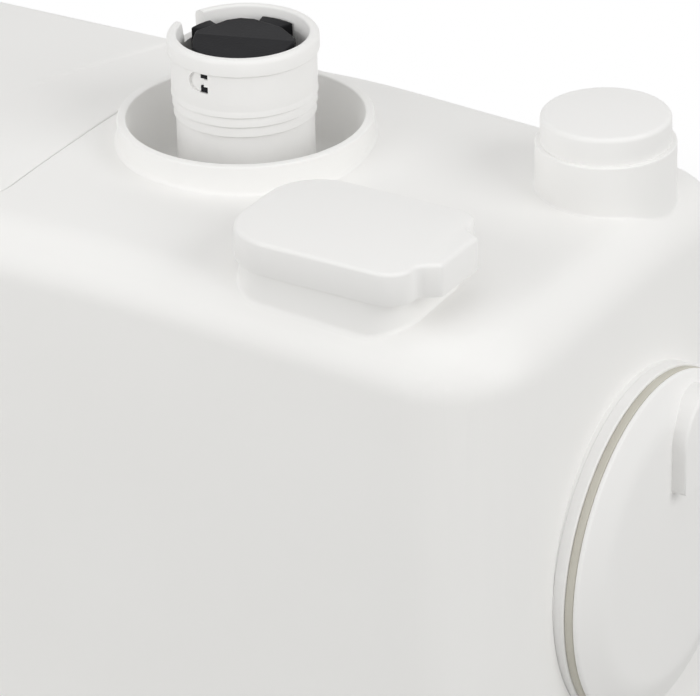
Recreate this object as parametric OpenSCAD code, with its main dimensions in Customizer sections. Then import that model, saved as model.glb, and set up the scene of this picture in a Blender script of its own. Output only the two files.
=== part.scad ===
// Macerator toilet pump: a two-part casing with a top outlet, a vent, a plugged top inlet and a
// blanked side port, and inside it a horizontal motor that drives a centrifugal pump and a cutter.
// Millimetres. The origin is on the floor under the middle of the casing, +X is its right end,
// -Y its front and +Z is up.

/* [Casing] */
// Width of the casing at the seam
body_w = 496; // [460:1:540]
// Depth of the casing at the seam
body_d = 164; // [158:1:180]
// Height of the middle of the top
top_z = 274.5; // [270:0.5:290]
// Height of the seam between tank and hood
split_z = 95; // [92:1:100]
// Wall of the hood
hood_wall = 3.5; // [2.5:0.1:4.5]
// Wall of the tank
tank_wall = 4; // [3:0.1:5]
// Floor of the tank
tank_floor = 4; // [3:0.1:6]
// Radius of the upright corners
corner_r = 30; // [22:1:36]
// Radius of the rounding around the top
top_r = 14; // [10:1:16]
// How far each end leans in from seam to top
draft_x = 6; // [2:0.5:8]
// How far the front and back lean in from seam to top
draft_y = 7; // [2:0.5:8]
// How far the middle of the top stands above its long edges
crown = 3; // [1:0.5:5]
// Length of the level part of the top
level_w = 244; // [220:1:260]
// How far the top falls from the level part to each end
end_fall = 7; // [4:0.2:10]
// Width of the rims that clamp tank and hood together
rim_w = 10; // [9:0.5:14]
// Thickness of each clamping rim
rim_t = 4; // [3:0.5:6]
// Thickness of the seal between the rims
seal_t = 1.5; // [1:0.1:3]
// Height of the rubber feet
foot_h = 6; // [4:0.5:12]
// Radius of a rubber foot
foot_r = 14; // [10:1:18]

/* [Outlet] */
// Outlet axis, to the right of the middle
outlet_x = 112; // [110:1:116]
// Outlet axis, behind the casing's front
outlet_y = 95; // [92:1:98]
// Outer diameter of the outlet pipe
outlet_d = 40; // [38:0.5:41]
// Wall of the outlet pipe
outlet_wall = 3.5; // [3:0.1:4]
// Height of the cup's rim around the outlet
cup_z = 280; // [278:0.5:284]
// Inner diameter of the cup
cup_d = 70; // [68:0.5:72]
// Wall of the cup
cup_wall = 2.4; // [2:0.1:3]
// Depth of the well inside the cup
cup_depth = 30; // [26:1:32]
// How far the outlet stands above the cup's rim
outlet_rise = 25.8; // [25:0.1:32]

/* [Vent] */
// Middle of the vent, to the right of the middle
vent_x = 183.5; // [181:0.5:186]
// Middle of the vent, in front of the middle
vent_y = -47.5; // [-49:0.5:-46]
// Width of the vent cover
vent_w = 58; // [56:0.5:60]
// Depth of the vent cover
vent_d = 44; // [42:0.5:46]
// Thickness of the vent cover
vent_t = 10; // [8:0.5:11]
// Height of the vent cover's upper face
vent_z = 286.5; // [285:0.5:290]
// Lean of the vent with the falling top, in degrees
vent_tilt = 3.5; // [1:0.5:5]
// Reach of the vent cover's finger tab
tab_reach = 6.3; // [4:0.1:8]
// Width of the vent cover's finger tab
tab_w = 20; // [16:0.5:24]

/* [Top inlet] */
// Axis of the top inlet, to the right of the middle
plug_x = 216; // [212:1:218]
// Axis of the top inlet, behind the middle
plug_y = 38; // [36:1:42]
// Outer diameter of the inlet socket
socket_d = 41.4; // [40:0.2:43]
// Height of the socket's rim
socket_z = 284.3; // [283:0.1:287]
// Diameter of the plug's cap
plug_cap_d = 37.2; // [36:0.2:39]
// Height of the plug's cap
plug_cap_h = 8.2; // [6:0.2:10]
// Bore of the socket
socket_bore = 33; // [31:0.5:34]

/* [Side port] */
// Port axis, behind the middle
port_y = 6; // [2:1:10]
// Port axis, above the floor
port_z = 180; // [177:1:184]
// Outer diameter of the port ring
port_ring_d = 101; // [99:0.5:104]
// Thickness of the port ring
port_ring_t = 3.3; // [2.8:0.1:4]
// Bore of the port ring
port_bore = 85; // [82:0.5:88]
// Thickness of the port gasket
port_gasket_t = 4.6; // [4:0.1:5.2]
// Diameter of the port cover
port_cover_d = 109; // [106:0.5:112]
// Thickness of the port cover
port_cover_t = 5; // [4:0.5:7]

/* [Lid] */
// Width of the lid
lid_w = 144; // [136:1:145]
// Depth of the lid
lid_d = 124; // [116:1:126]
// Corner radius of the lid
lid_r = 14; // [10:1:18]
// Height of the lid's flat underside
lid_z = 266; // [264:0.5:267]
// Gap around the lid
lid_gap = 0.6; // [0.4:0.1:1]

/* [Motor and pump] */
// Shaft axis, behind the casing's front
axis_y = 62; // [60:1:64]
// Shaft axis, above the floor
axis_z = 100; // [96:1:104]
// Diameter of the shaft
shaft_d = 12; // [10:0.5:14]
// Diameter of the motor can
motor_d = 104; // [98:1:106]
// Length of the motor can
motor_len = 140; // [130:1:146]
// Diameter of the pump volute
volute_d = 92; // [88:1:93]
// Length of the pump volute along the shaft
volute_len = 40; // [38:1:44]
// Diameter of the impeller
impeller_d = 76; // [66:1:78]
// Diameter swept by the cutter
cutter_d = 70; // [60:1:74]

/* [Side inlets] */
// Height of the side inlets above the floor
inlet_z = 56; // [54:1:58]
// Side inlets, off the middle of each end
inlet_y = 36; // [32:1:40]
// Outer diameter of a side inlet
inlet_d = 40; // [36:0.5:40]
// Reach of a side inlet outside the tank
inlet_reach = 34; // [28:1:44]

/* [Hidden] */
$fn = 64;

// Finishes, as seen on the object
casing_white = [0.90, 0.90, 0.89];
fitting_white = [0.93, 0.93, 0.92];
rubber_black = [0.06, 0.06, 0.06];
seal_ivory = [0.78, 0.76, 0.70];
valve_black = [0.05, 0.05, 0.055];
steel = [0.72, 0.73, 0.74];
zinc = [0.60, 0.62, 0.64];
grey_plastic = [0.45, 0.46, 0.47];
charcoal = [0.12, 0.12, 0.12];
copper = [0.72, 0.42, 0.25];
board_green = [0.10, 0.32, 0.18];

// Clearances
run = 0.05;
slip = 0.2;
free = 0.3;
eps = 0.01;

// Casing
half_w = body_w / 2;
half_d = body_d / 2;
top_half_w = half_w - draft_x;
top_half_d = half_d - draft_y;
hood_z = split_z + seal_t;
floor_z = foot_h + tank_floor;
hull_fn = 32;
crown_shares = [-0.55, 0, 0.55];
stations = [-top_half_w + corner_r, -level_w / 2, level_w / 2, top_half_w - corner_r];

// How far the top has fallen at x, and its height at x and y
function fall(x) = end_fall * max(0, abs(x) - level_w / 2) / (top_half_w - level_w / 2);
function top_at(x, y) = top_z - crown * pow(y / top_half_d, 2) - fall(x);
// How far an end wall leans in at height z
function lean_x(z) = draft_x * (z - hood_z) / (top_z - crown - top_r - hood_z);
function lean_y(z) = draft_y * (z - hood_z) / (top_z - crown - top_r - hood_z);

// Casing screws, spread evenly along the rims
screw_r = 1.75;
screw_head_r = 3.5;
screw_head_h = 2.5;
screw_boss_r = 4;
screw_boss_h = 12;
screw_line_x = half_w + rim_w / 2;
screw_line_y = half_d + rim_w / 2;
long_screws = 4;
long_pitch = (body_w - 2 * corner_r) / (long_screws - 1);
screw_spots = concat(
    [for (side = [-1, 1], i = [0 : long_screws - 1])
        [-half_w + corner_r + i * long_pitch, side * screw_line_y]],
    [for (side = [-1, 1]) [side * screw_line_x, 0]]);

// Floor brackets at the two ends
bracket_y = -32;
bracket_w = 30;
bracket_t = 3;
bracket_reach = 32;
bracket_h = 26;
bracket_hole_r = 3.5;
bracket_hole_x = half_w + 20;
bracket_screw_z = 18;
bracket_screw_r = 2;
bracket_screw_in = 6;
bracket_boss_r = 5;
bracket_boss_len = 8;
foot_in_x = 50;
foot_in_y = 30;
foot_x = half_w - foot_in_x;
foot_y = half_d - foot_in_y;
foot_sink = 1;

// Lid, its gasket and the tray that hangs under it
lid_gasket_t = 1.5;
tray_rim_t = 3;
ledge_w = 8;
ledge_t = 4;
ledge_z = lid_z - lid_gasket_t - tray_rim_t;
lid_open_w = lid_w - 2 * ledge_w;
lid_open_d = lid_d - 2 * ledge_w;
lid_open_r = lid_r - ledge_w / 2;
frame_w = 6;
lid_pocket = 2.5;
tray_wall = 2.5;
tray_depth = 70;
tray_z = ledge_z - tray_depth;
tray_w = lid_open_w - 2 * slip;
tray_d = lid_open_d - 2 * slip;
tray_floor_z = tray_z + tray_wall;

// Outlet stub
outlet_mid_y = outlet_y - half_d;
outlet_r = outlet_d / 2;
outlet_bore_r = outlet_r - outlet_wall;
cup_r = cup_d / 2;
cup_floor_t = 3;
well_z = cup_z - cup_depth;
well_low = well_z - cup_floor_t;
outlet_top = cup_z + outlet_rise;
ridge_r = outlet_r + 1.3;
ridge_t = 2;
ridge_rises = [1.5, 4.5, 7.6];
neck_r = outlet_r + 1.1;
lip_r = outlet_r + 1.9;
lip_h = 5.3;
stub_seal_t = 2;
stub_flange_r = outlet_r + 8;
stub_flange_t = 4;
stub_drop = 44;
stub_low = well_low - stub_drop;
stub_notch_w = 10;
stub_notch_h = 6;
stub_window_w = 5;
stub_window_h = 5;
stub_window_angle = -98;
stub_window_drop = 10.5;

// Non-return valve in the outlet
valve_h = 10;
valve_seat_r = outlet_bore_r + 1.8;
valve_r = valve_seat_r - slip;
valve_bore_r = 12.5;
valve_low = outlet_top - 14.3;
valve_top = valve_low + valve_h;
flap_t = 2.5;
flap_r = 13.4;
flap_ear_d = 3.2;
flap_pin_r = 1;
flap_knuckle_r = 1.9;
flap_pin_y = outlet_mid_y + 15.2;
flap_pin_z = valve_top + free + flap_knuckle_r;
flap_knuckle_w = 9;
flap_ear_w = 2;
flap_pin_w = flap_knuckle_w + 2 * free + 2 * flap_ear_w;

// Discharge hose between pump and stub
hose_wall = 4;
hose_r = outlet_r + hose_wall;
hose_hold = 26;
spigot_top = stub_low - 24;
hose_low = spigot_top - hose_hold;
hose_high = stub_low + hose_hold;
clip_t = 1.2;
clip_w = 9;
clip_box = 9;
clip_zs = [hose_low + hose_hold / 2, hose_high - hose_hold / 2];

// Vent tower and filter, drawn in a frame that leans with the top
vent_inset = 2.5;
vent_r = 14;
vent_wall = 4;
vent_pocket_w = vent_w - 2 * (vent_inset + vent_wall);
vent_pocket_d = vent_d - 2 * (vent_inset + vent_wall);
vent_pocket_r = 6;
vent_plug_h = 3;
filter_t = 12;
vent_floor_t = 3;
vent_low = -vent_t - vent_plug_h - filter_t - vent_floor_t - free;
vent_slots = 3;
vent_slot_w = 6;
scallop_r = 4.5;

// Top inlet
socket_r = socket_d / 2;
socket_bore_r = socket_bore / 2;
plug_len = 22;
plug_wall = 3;
plug_ring_r = 1.4;
plug_groove_drop = 12;
socket_low = socket_z - 30;

// Side port
port_seat = 3.5;
port_pad_x = half_w - port_seat;
port_ring_r = port_ring_d / 2;
port_bore_r = port_bore / 2;
port_collar_r = port_bore_r + 3.5;
port_collar_len = 16;
port_ring_x = port_pad_x + port_ring_t;
port_cover_x = port_ring_x + port_gasket_t;
port_cover_r = port_cover_d / 2;
port_edge = 1.5;
port_spigot_len = 14;
port_spigot_wall = 4;
lug_w = 27;
lug_h = 27;
lug_t = 4.4;
lug_r = 13;
lug_dist = 33.5;
lug_angle = 10;

// Motor, shaft and pump, laid out along X from the pump under the outlet
volute_x = outlet_x - volute_len / 2;
volute_end = volute_x + volute_len;
shield_t = 8;
shield_x = volute_x - shield_t;
motor_x = shield_x - motor_len;
motor_r = motor_d / 2;
can_wall = 2;
stator_len = 50;
stator_x = motor_x + (motor_len - stator_len) / 2;
rotor_r = 28;
air_gap = 0.5;
shaft_y = axis_y - half_d;
shaft_r = shaft_d / 2;
bearing_r = shaft_r + 9;
bearing_w = 11;
hub_wall = 4;
rear_bearing_x = motor_x + can_wall + 1;
front_bearing_x = shield_x - bearing_w - 2;
shaft_x = motor_x + can_wall + 1;
seal_r = shaft_r + 6;
volute_r = volute_d / 2;
volute_wall = 4;
volute_flange_t = 5;
suction_t = 4;
eye_r = shaft_r + 11;
impeller_r = impeller_d / 2;
impeller_gap = 2;
shroud_t = 3;
vanes = 5;
vane_t = 3;
impeller_x = volute_x + volute_wall + impeller_gap;
impeller_end = volute_end - suction_t - 3 - impeller_gap;
bolt_r = 2.5;
bolt_head_r = 3.2;
bolt_head_h = 4;
bolt_edge = 4;
bolt_ring_r = max(volute_r + bolt_edge, motor_r - can_wall);
volute_flange_r = bolt_ring_r + bolt_edge;
bolt_turns = [-10 : 90 : 260];
saddle_w = 20;
saddle_half = 40;
saddle_rise = 22;
saddle_in = 14;
saddle_xs = [motor_x + saddle_in, shield_x - saddle_in - saddle_w];
pump_foot_w = 20;
pump_foot_d = 44;

// Basket and cutter
basket_x = volute_end + 14;
basket_len = 60;
basket_end = basket_x + basket_len;
basket_half = half_d - tank_wall - 8;
basket_wall = 3;
basket_z = 52;
basket_top = 132;
basket_r = 8;
basket_rows = 3;
basket_hole_r = 5;
hole_pitch_x = 18;
hole_pitch_y = 19;
hole_pitch_z = 18;
floor_holes = [for (i = [-1 : 1], j = [-3 : 3])
    if (abs(i) + abs(j) < 4) [i * hole_pitch_x, j * hole_pitch_y]];
leg_r = 5;
spout_t = 3;
spout_half = 50;
spout_x = top_half_w - hood_wall - 1.5;
bush_r = shaft_r + 5;
bush_flange_r = bush_r + 4;
bush_flange_t = 3;
cutter_x = basket_x + 16;
cutter_hub_r = shaft_r + 5;
cutter_hub_len = 30;
cutter_r = cutter_d / 2;
cutter_blade_t = 4;
cutter_blade_w = 14;
cutter_rows = 2;
nut_h = 8;
nut_r = shaft_r + 4;
shaft_end = cutter_x + cutter_hub_len + nut_h;

// Level switch
bell_x = -130;
bell_r = 16;
bell_wall = 3;
bell_top = 180;
bell_slot_w = 8;
bell_slot_h = 14;
switch_r = 24;
switch_wall = 3;
switch_low_h = 10;
membrane_t = 1.2;
switch_cap_h = 7;
switch_nipple_r = 5;
switch_seat_z = bell_top + switch_low_h;
switch_cap_z = switch_seat_z + membrane_t;
plunger_r = 3;
plunger_head_r = 9;
plunger_head_t = 1.5;
plunger_z = switch_cap_z + run;
plunger_top = switch_cap_z + switch_cap_h + 3;
switch_travel = 2;
micro_w = 20;
micro_d = 8;
micro_h = 11;
micro_z = plunger_top + switch_travel + 0.3;
micro_post_w = 4;

// Cable gland in the back wall
gland_x = -150;
gland_z = 232;
gland_r = 8;
gland_pad_r = 15;
gland_pad_y = top_half_d + 2;
gland_pad_in = top_half_d - hood_wall - 4;
gland_hex_r = 12;
gland_hex_h = 5;
gland_dome_h = 10;
gland_cord_r = 4;
gland_nut_h = 4;

// Side inlets
inlet_r = inlet_d / 2;
inlet_bore_r = inlet_r - 3.5;
inlet_neck_r = inlet_r + 1.5;
inlet_flange_r = inlet_r + 7;
inlet_flange_t = 4;
inlet_neck_in = tank_wall + 6;
inlet_flap_r = inlet_bore_r + 2;
inlet_flap_t = 2.4;
inlet_pin_r = 1.25;
inlet_knuckle_r = 2.4;
inlet_knuckle_w = 12;
inlet_ear_w = 3;
inlet_pin_w = inlet_knuckle_w + 2 * free + 2 * inlet_ear_w;
inlet_pin_in = inlet_neck_in + free + inlet_flap_t / 2;
inlet_pin_up = inlet_neck_r + free + inlet_knuckle_r;
inlet_ear_up = inlet_neck_r + slip;

// Electrics in the tray
capacitor_r = 17;
capacitor_len = 62;
capacitor_y = tray_d / 2 - tray_wall - capacitor_r - 4;
capacitor_clip_w = 8;
terminal_w = 44;
terminal_d = 18;
terminal_h = 16;
terminal_ways = 4;
board_w = 44;
board_d = 40;
board_t = 1.6;
board_post_h = 6;
board_post_r = 2.5;
relay_w = 16;
relay_h = 14;

// Rectangle about the origin with round corners
module round_rect(w, d, r) {
    square([w - 2 * r, d], center = true);
    square([w, d - 2 * r], center = true);
    for (x = [-1, 1], y = [-1, 1])
        translate([x * (w / 2 - r), y * (d / 2 - r)])
            circle(r);
}

// Upright plate with round corners
module round_plate(w, d, r, h) {
    linear_extrude(h)
        round_rect(w, d, r);
}

// Cylinder along X from one place to another
module rod_x(r, from, to) {
    translate([from, 0, 0])
        rotate([0, 90, 0])
            cylinder(r = r, h = to - from);
}

// Tube along X
module tube_x(r, bore, from, to) {
    difference() {
        rod_x(r, from, to);
        rod_x(bore, from - 1, to + 1);
    }
}

// Upright tube
module tube(r, bore, h) {
    difference() {
        cylinder(r = r, h = h);
        translate([0, 0, -1])
            cylinder(r = bore, h = h + 2);
    }
}

// Moves to the shaft axis
module on_shaft() {
    translate([0, shaft_y, axis_z])
        children();
}

// Moves to the outlet axis
module on_outlet() {
    translate([outlet_x, outlet_mid_y, 0])
        children();
}

// Moves to the upper face of the vent, leaning with the top
module on_vent() {
    translate([vent_x, vent_y, vent_z])
        rotate([0, vent_tilt, 0])
            children();
}

// Moves to the side port's axis, with X outwards
module on_port() {
    translate([0, port_y, port_z])
        children();
}

// Moves to a side inlet, with the tank's outer face at x = 0 and X outwards
module on_inlet(side) {
    rotate([0, 0, side > 0 ? 0 : 180])
        translate([half_w, inlet_y, inlet_z])
            children();
}

// Moves to a floor bracket's screw, with X outwards
module on_bracket(side) {
    translate([0, bracket_y, bracket_screw_z])
        mirror([side < 0 ? 1 : 0, 0, 0])
            children();
}

// The hood's rounded, crowned form, drawn in by inset and carried down by drop
module casing_form(inset, drop) {
    hull() {
        for (x = [-1, 1], y = [-1, 1])
            translate([x * (half_w - corner_r), y * (half_d - corner_r), hood_z - drop])
                cylinder(r = corner_r - inset, h = 1, $fn = hull_fn);
        for (x = stations, y = [-1, 1])
            translate([x, y * (top_half_d - corner_r), top_z - crown - fall(x) - top_r])
                rotate_extrude($fn = hull_fn)
                    translate([corner_r - top_r, 0])
                        circle(top_r - inset, $fn = hull_fn);
        for (x = stations, share = crown_shares)
            translate([x, share * top_half_d, top_at(x, share * top_half_d) - top_r])
                sphere(top_r - inset, $fn = hull_fn);
    }
}

// Flat ring that follows the casing's outline
module casing_ring(out, inside, h) {
    difference() {
        round_plate(body_w + 2 * out, body_d + 2 * out, corner_r + out, h);
        translate([0, 0, -1])
            round_plate(body_w - 2 * inside, body_d - 2 * inside, corner_r - inside, h + 2);
    }
}

// The hood's clamping rim and its mouldings, before anything is cut
module hood_solid() {
    difference() {
        casing_form(0, 0);
        casing_form(hood_wall, 1);
    }
    translate([0, 0, hood_z])
        casing_ring(rim_w, hood_wall, rim_t);
    intersection() {
        casing_form(hood_wall / 2, 0);
        translate([0, 0, ledge_z - ledge_t])
            round_plate(lid_w + 2 * frame_w, lid_d + 2 * frame_w, lid_r + frame_w, top_z);
    }
    on_outlet()
        translate([0, 0, well_low])
            cylinder(r = cup_r + cup_wall, h = cup_z - well_low);
    on_vent()
        translate([0, 0, vent_low])
            round_plate(vent_w - 2 * vent_inset, vent_d - 2 * vent_inset, vent_r - vent_inset,
                -vent_t - vent_low);
    translate([plug_x, plug_y, socket_low])
        cylinder(r = socket_r, h = socket_z - socket_low);
    on_port()
        rod_x(port_ring_r, top_half_w - hood_wall, port_pad_x);
    translate([gland_x, gland_pad_in, gland_z])
        rotate([-90, 0, 0])
            cylinder(r = gland_pad_r, h = gland_pad_y - gland_pad_in);
}

module hood() {
    color(casing_white)
        difference() {
            hood_solid();
            translate([0, 0, ledge_z])
                round_plate(lid_w, lid_d, lid_r, top_z);
            translate([0, 0, ledge_z - ledge_t - 1])
                round_plate(lid_open_w, lid_open_d, lid_open_r, top_z);
            on_outlet() {
                translate([0, 0, well_z])
                    cylinder(r = cup_r, h = cup_depth + 1);
                translate([0, 0, well_low - 1])
                    cylinder(r = outlet_r + slip, h = cup_depth);
            }
            on_vent() {
                translate([0, 0, vent_low + vent_floor_t])
                    round_plate(vent_pocket_w, vent_pocket_d, vent_pocket_r, -vent_low);
                for (i = [0 : vent_slots - 1])
                    translate([0, (i - (vent_slots - 1) / 2) * vent_pocket_d / vent_slots, vent_low])
                        cube([vent_pocket_w - 2 * vent_wall, vent_slot_w, 3 * vent_floor_t], center = true);
            }
            translate([plug_x, plug_y, socket_low - 1])
                cylinder(r = socket_bore_r, h = socket_z);
            on_port()
                union() {
                    rod_x(port_collar_r + slip, top_half_w - 3 * hood_wall, port_pad_x + 1);
                    rod_x(port_ring_r + slip, port_pad_x, half_w + 1);
                }
            translate([gland_x, gland_pad_in - 1, gland_z])
                rotate([-90, 0, 0])
                    cylinder(r = gland_r + slip, h = gland_pad_y);
            for (spot = screw_spots)
                translate([spot[0], spot[1], hood_z - 1])
                    cylinder(r = screw_r + slip, h = rim_t + 2);
        }
}

// The tank's walls, rim and bosses, before anything is drilled
module tank_shell() {
    difference() {
        union() {
            translate([0, 0, foot_h])
                round_plate(body_w, body_d, corner_r, split_z - foot_h);
            translate([0, 0, split_z - rim_t])
                round_plate(body_w + 2 * rim_w, body_d + 2 * rim_w, corner_r + rim_w, rim_t);
            for (spot = screw_spots)
                translate([spot[0], spot[1], split_z - screw_boss_h])
                    cylinder(r = screw_boss_r, h = screw_boss_h);
        }
        translate([0, 0, floor_z])
            round_plate(body_w - 2 * tank_wall, body_d - 2 * tank_wall, corner_r - tank_wall, split_z);
    }
    for (side = [-1, 1])
        on_bracket(side)
            rod_x(bracket_boss_r, half_w - tank_wall - bracket_boss_len, half_w - eps);
    for (side = [-1, 1], y = [-1, 1])
        on_inlet(side)
            translate([-inlet_pin_in - inlet_knuckle_r, y * (inlet_pin_w - inlet_ear_w) / 2 - inlet_ear_w / 2,
                inlet_ear_up])
                cube([inlet_pin_in + inlet_knuckle_r - tank_wall + eps, inlet_ear_w,
                    inlet_pin_up + inlet_knuckle_r - inlet_ear_up]);
}

module tank() {
    color(casing_white)
        difference() {
            tank_shell();
            for (spot = screw_spots)
                translate([spot[0], spot[1], split_z - screw_boss_h + 1])
                    cylinder(r = screw_r, h = screw_boss_h);
            for (x = [-1, 1], y = [-1, 1])
                translate([x * foot_x, y * foot_y, foot_h - 1])
                    cylinder(r = foot_r + slip, h = foot_sink + 1);
            for (side = [-1, 1]) {
                on_inlet(side) {
                    rod_x(inlet_neck_r + slip, -tank_wall - 1, 1);
                    translate([-inlet_pin_in, 0, inlet_pin_up])
                        rotate([90, 0, 0])
                            cylinder(r = inlet_pin_r, h = 2 * inlet_pin_w, center = true);
                }
                on_bracket(side)
                    rod_x(bracket_screw_r + run, half_w - tank_wall - bracket_screw_in - 1, half_w + 1);
            }
        }
}

module casing_seal() {
    color(rubber_black)
        translate([0, 0, split_z])
            casing_ring(rim_w / 2 - screw_boss_r / 2, hood_wall, seal_t);
}

module casing_screws() {
    color(steel)
        for (spot = screw_spots)
            translate([spot[0], spot[1], 0]) {
                translate([0, 0, hood_z + rim_t])
                    cylinder(r = screw_head_r, h = screw_head_h);
                translate([0, 0, split_z - screw_boss_h + 2])
                    cylinder(r = screw_r - run, h = hood_z + rim_t - split_z + screw_boss_h - 2);
            }
}

module rubber_feet() {
    color(rubber_black)
        for (x = [-1, 1], y = [-1, 1])
            translate([x * foot_x, y * foot_y, 0])
                cylinder(r = foot_r, h = foot_h + foot_sink);
}

module floor_brackets() {
    color(zinc)
        for (side = [0, 1])
            mirror([side, 0, 0])
                difference() {
                    translate([half_w, bracket_y - bracket_w / 2, 0]) {
                        cube([bracket_reach, bracket_w, bracket_t]);
                        cube([bracket_t, bracket_w, bracket_h]);
                    }
                    translate([bracket_hole_x, bracket_y, -1])
                        cylinder(r = bracket_hole_r, h = bracket_t + 2);
                    translate([0, bracket_y, bracket_screw_z])
                        rod_x(bracket_screw_r + slip, half_w - 1, half_w + bracket_t + 1);
                }
}

module bracket_screws() {
    color(steel)
        for (side = [-1, 1])
            on_bracket(side) {
                rod_x(bracket_screw_r, half_w - tank_wall - bracket_screw_in, half_w + bracket_t);
                rod_x(2 * bracket_screw_r, half_w + bracket_t, half_w + bracket_t + screw_head_h);
            }
}

module lid() {
    color(casing_white)
        difference() {
            intersection() {
                casing_form(0, 0);
                translate([0, 0, lid_z])
                    round_plate(lid_w - 2 * lid_gap, lid_d - 2 * lid_gap, lid_r - lid_gap, top_z);
            }
            translate([0, 0, lid_z - 1])
                round_plate(lid_open_w, lid_open_d, lid_open_r, lid_pocket + 1);
        }
}

module lid_gasket() {
    color(rubber_black)
        translate([0, 0, lid_z - lid_gasket_t])
            difference() {
                round_plate(lid_w - 2 * lid_gap, lid_d - 2 * lid_gap, lid_r - lid_gap, lid_gasket_t);
                translate([0, 0, -1])
                    round_plate(lid_open_w, lid_open_d, lid_open_r, lid_gasket_t + 2);
            }
}

module control_tray() {
    color(grey_plastic)
        difference() {
            union() {
                translate([0, 0, tray_z])
                    round_plate(tray_w, tray_d, lid_open_r - slip, tray_depth);
                translate([0, 0, ledge_z])
                    round_plate(lid_w - 2 * lid_gap, lid_d - 2 * lid_gap, lid_r - lid_gap, tray_rim_t);
            }
            translate([0, 0, tray_floor_z])
                round_plate(tray_w - 2 * tray_wall, tray_d - 2 * tray_wall, lid_open_r - slip - tray_wall,
                    tray_depth + tray_rim_t);
        }
}

module control_board() {
    board_x = tray_w / 2 - tray_wall - board_w / 2 - 4;
    board_y = -tray_d / 2 + tray_wall + board_d / 2 + 4;
    color(board_green)
        translate([board_x, board_y, tray_floor_z]) {
            translate([-board_w / 2, -board_d / 2, board_post_h])
                cube([board_w, board_d, board_t]);
            for (x = [-1, 1], y = [-1, 1])
                translate([x * (board_w / 2 - 4), y * (board_d / 2 - 4), 0])
                    cylinder(r = board_post_r, h = board_post_h);
            translate([-board_w / 2 + 5, -relay_w / 2, board_post_h + board_t])
                cube([relay_w, relay_w, relay_h]);
            translate([board_w / 2 - 10, 0, board_post_h + board_t])
                cylinder(r = 5, h = relay_h);
        }
}

module capacitor() {
    clip_low = tray_floor_z + capacitor_r + 2;
    color(copper)
        translate([0, capacitor_y, clip_low])
            rod_x(capacitor_r, -capacitor_len / 2, capacitor_len / 2);
    color(grey_plastic)
        for (side = [-1, 1])
            translate([side * capacitor_len / 4, capacitor_y, tray_floor_z])
                translate([-capacitor_clip_w / 2, -capacitor_r / 2, 0])
                    cube([capacitor_clip_w, capacitor_r, 4]);
}

module terminal_block() {
    terminal_x = -tray_w / 2 + tray_wall + terminal_w / 2 + 4;
    terminal_y = -tray_d / 2 + tray_wall + terminal_d / 2 + 6;
    color(fitting_white)
        translate([terminal_x, terminal_y, tray_floor_z])
            difference() {
                translate([-terminal_w / 2, -terminal_d / 2, 0])
                    cube([terminal_w, terminal_d, terminal_h]);
                for (i = [0 : terminal_ways - 1], y = [-1, 1])
                    translate([(i - (terminal_ways - 1) / 2) * terminal_w / terminal_ways, y * terminal_d / 4,
                        terminal_h - 6])
                        cylinder(r = 2.5, h = 7);
            }
}

module cable_gland() {
    color(grey_plastic)
        translate([gland_x, 0, gland_z])
            rotate([-90, 0, 0])
                difference() {
                    union() {
                        translate([0, 0, gland_pad_in - gland_nut_h - 2])
                            cylinder(r = gland_r, h = gland_pad_y - gland_pad_in + gland_nut_h + 2 + eps);
                        translate([0, 0, gland_pad_y])
                            cylinder(r = gland_hex_r, h = gland_hex_h, $fn = 6);
                        translate([0, 0, gland_pad_y + gland_hex_h])
                            cylinder(r1 = gland_r + 2, r2 = gland_cord_r + 2, h = gland_dome_h);
                    }
                    translate([0, 0, gland_pad_in - gland_nut_h - 3])
                        cylinder(r = gland_cord_r, h = 2 * gland_pad_y);
                }
}

module gland_nut() {
    color(grey_plastic)
        translate([gland_x, gland_pad_in - gland_nut_h, gland_z])
            rotate([-90, 0, 0])
                difference() {
                    cylinder(r = gland_hex_r, h = gland_nut_h, $fn = 6);
                    translate([0, 0, -1])
                        cylinder(r = gland_r + run, h = gland_nut_h + 2);
                }
}

module outlet_stub() {
    color(fitting_white)
        on_outlet()
            difference() {
                union() {
                    translate([0, 0, stub_low])
                        cylinder(r = outlet_r, h = outlet_top - stub_low);
                    translate([0, 0, well_low - stub_seal_t - stub_flange_t])
                        cylinder(r = stub_flange_r, h = stub_flange_t);
                    for (rise = ridge_rises)
                        translate([0, 0, cup_z + rise - ridge_t / 2])
                            cylinder(r = ridge_r, h = ridge_t);
                    translate([0, 0, cup_z + ridge_rises[2]])
                        cylinder(r = neck_r, h = outlet_rise - ridge_rises[2]);
                    translate([0, 0, outlet_top - lip_h])
                        cylinder(r = lip_r, h = lip_h);
                }
                translate([0, 0, stub_low - 1])
                    cylinder(r = outlet_bore_r, h = outlet_top);
                translate([0, 0, valve_low])
                    cylinder(r = valve_seat_r, h = outlet_top);
                translate([-lip_r, 0, outlet_top])
                    cube([2 * lip_h, stub_notch_w, 2 * stub_notch_h], center = true);
                rotate([0, 0, stub_window_angle])
                    translate([outlet_r, 0, outlet_top - stub_window_drop])
                        cube([2 * outlet_wall, stub_window_w, stub_window_h], center = true);
            }
}

module outlet_seal() {
    color(rubber_black)
        on_outlet()
            translate([0, 0, well_low - stub_seal_t])
                tube(stub_flange_r - 1, outlet_r + slip, stub_seal_t);
}

module valve_body() {
    color(valve_black)
        difference() {
            union() {
                on_outlet()
                    translate([0, 0, valve_low])
                        tube(valve_r, valve_bore_r, valve_h);
                for (side = [-1, 1])
                    translate([outlet_x + side * (flap_knuckle_w / 2 + free + flap_ear_w / 2), flap_pin_y,
                        (valve_top + flap_pin_z + flap_knuckle_r) / 2 - eps])
                        cube([flap_ear_w, flap_ear_d, flap_pin_z + flap_knuckle_r - valve_top + 2 * eps],
                            center = true);
            }
            translate([outlet_x, flap_pin_y, flap_pin_z])
                rod_x(flap_pin_r, -valve_r, valve_r);
        }
}

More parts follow.
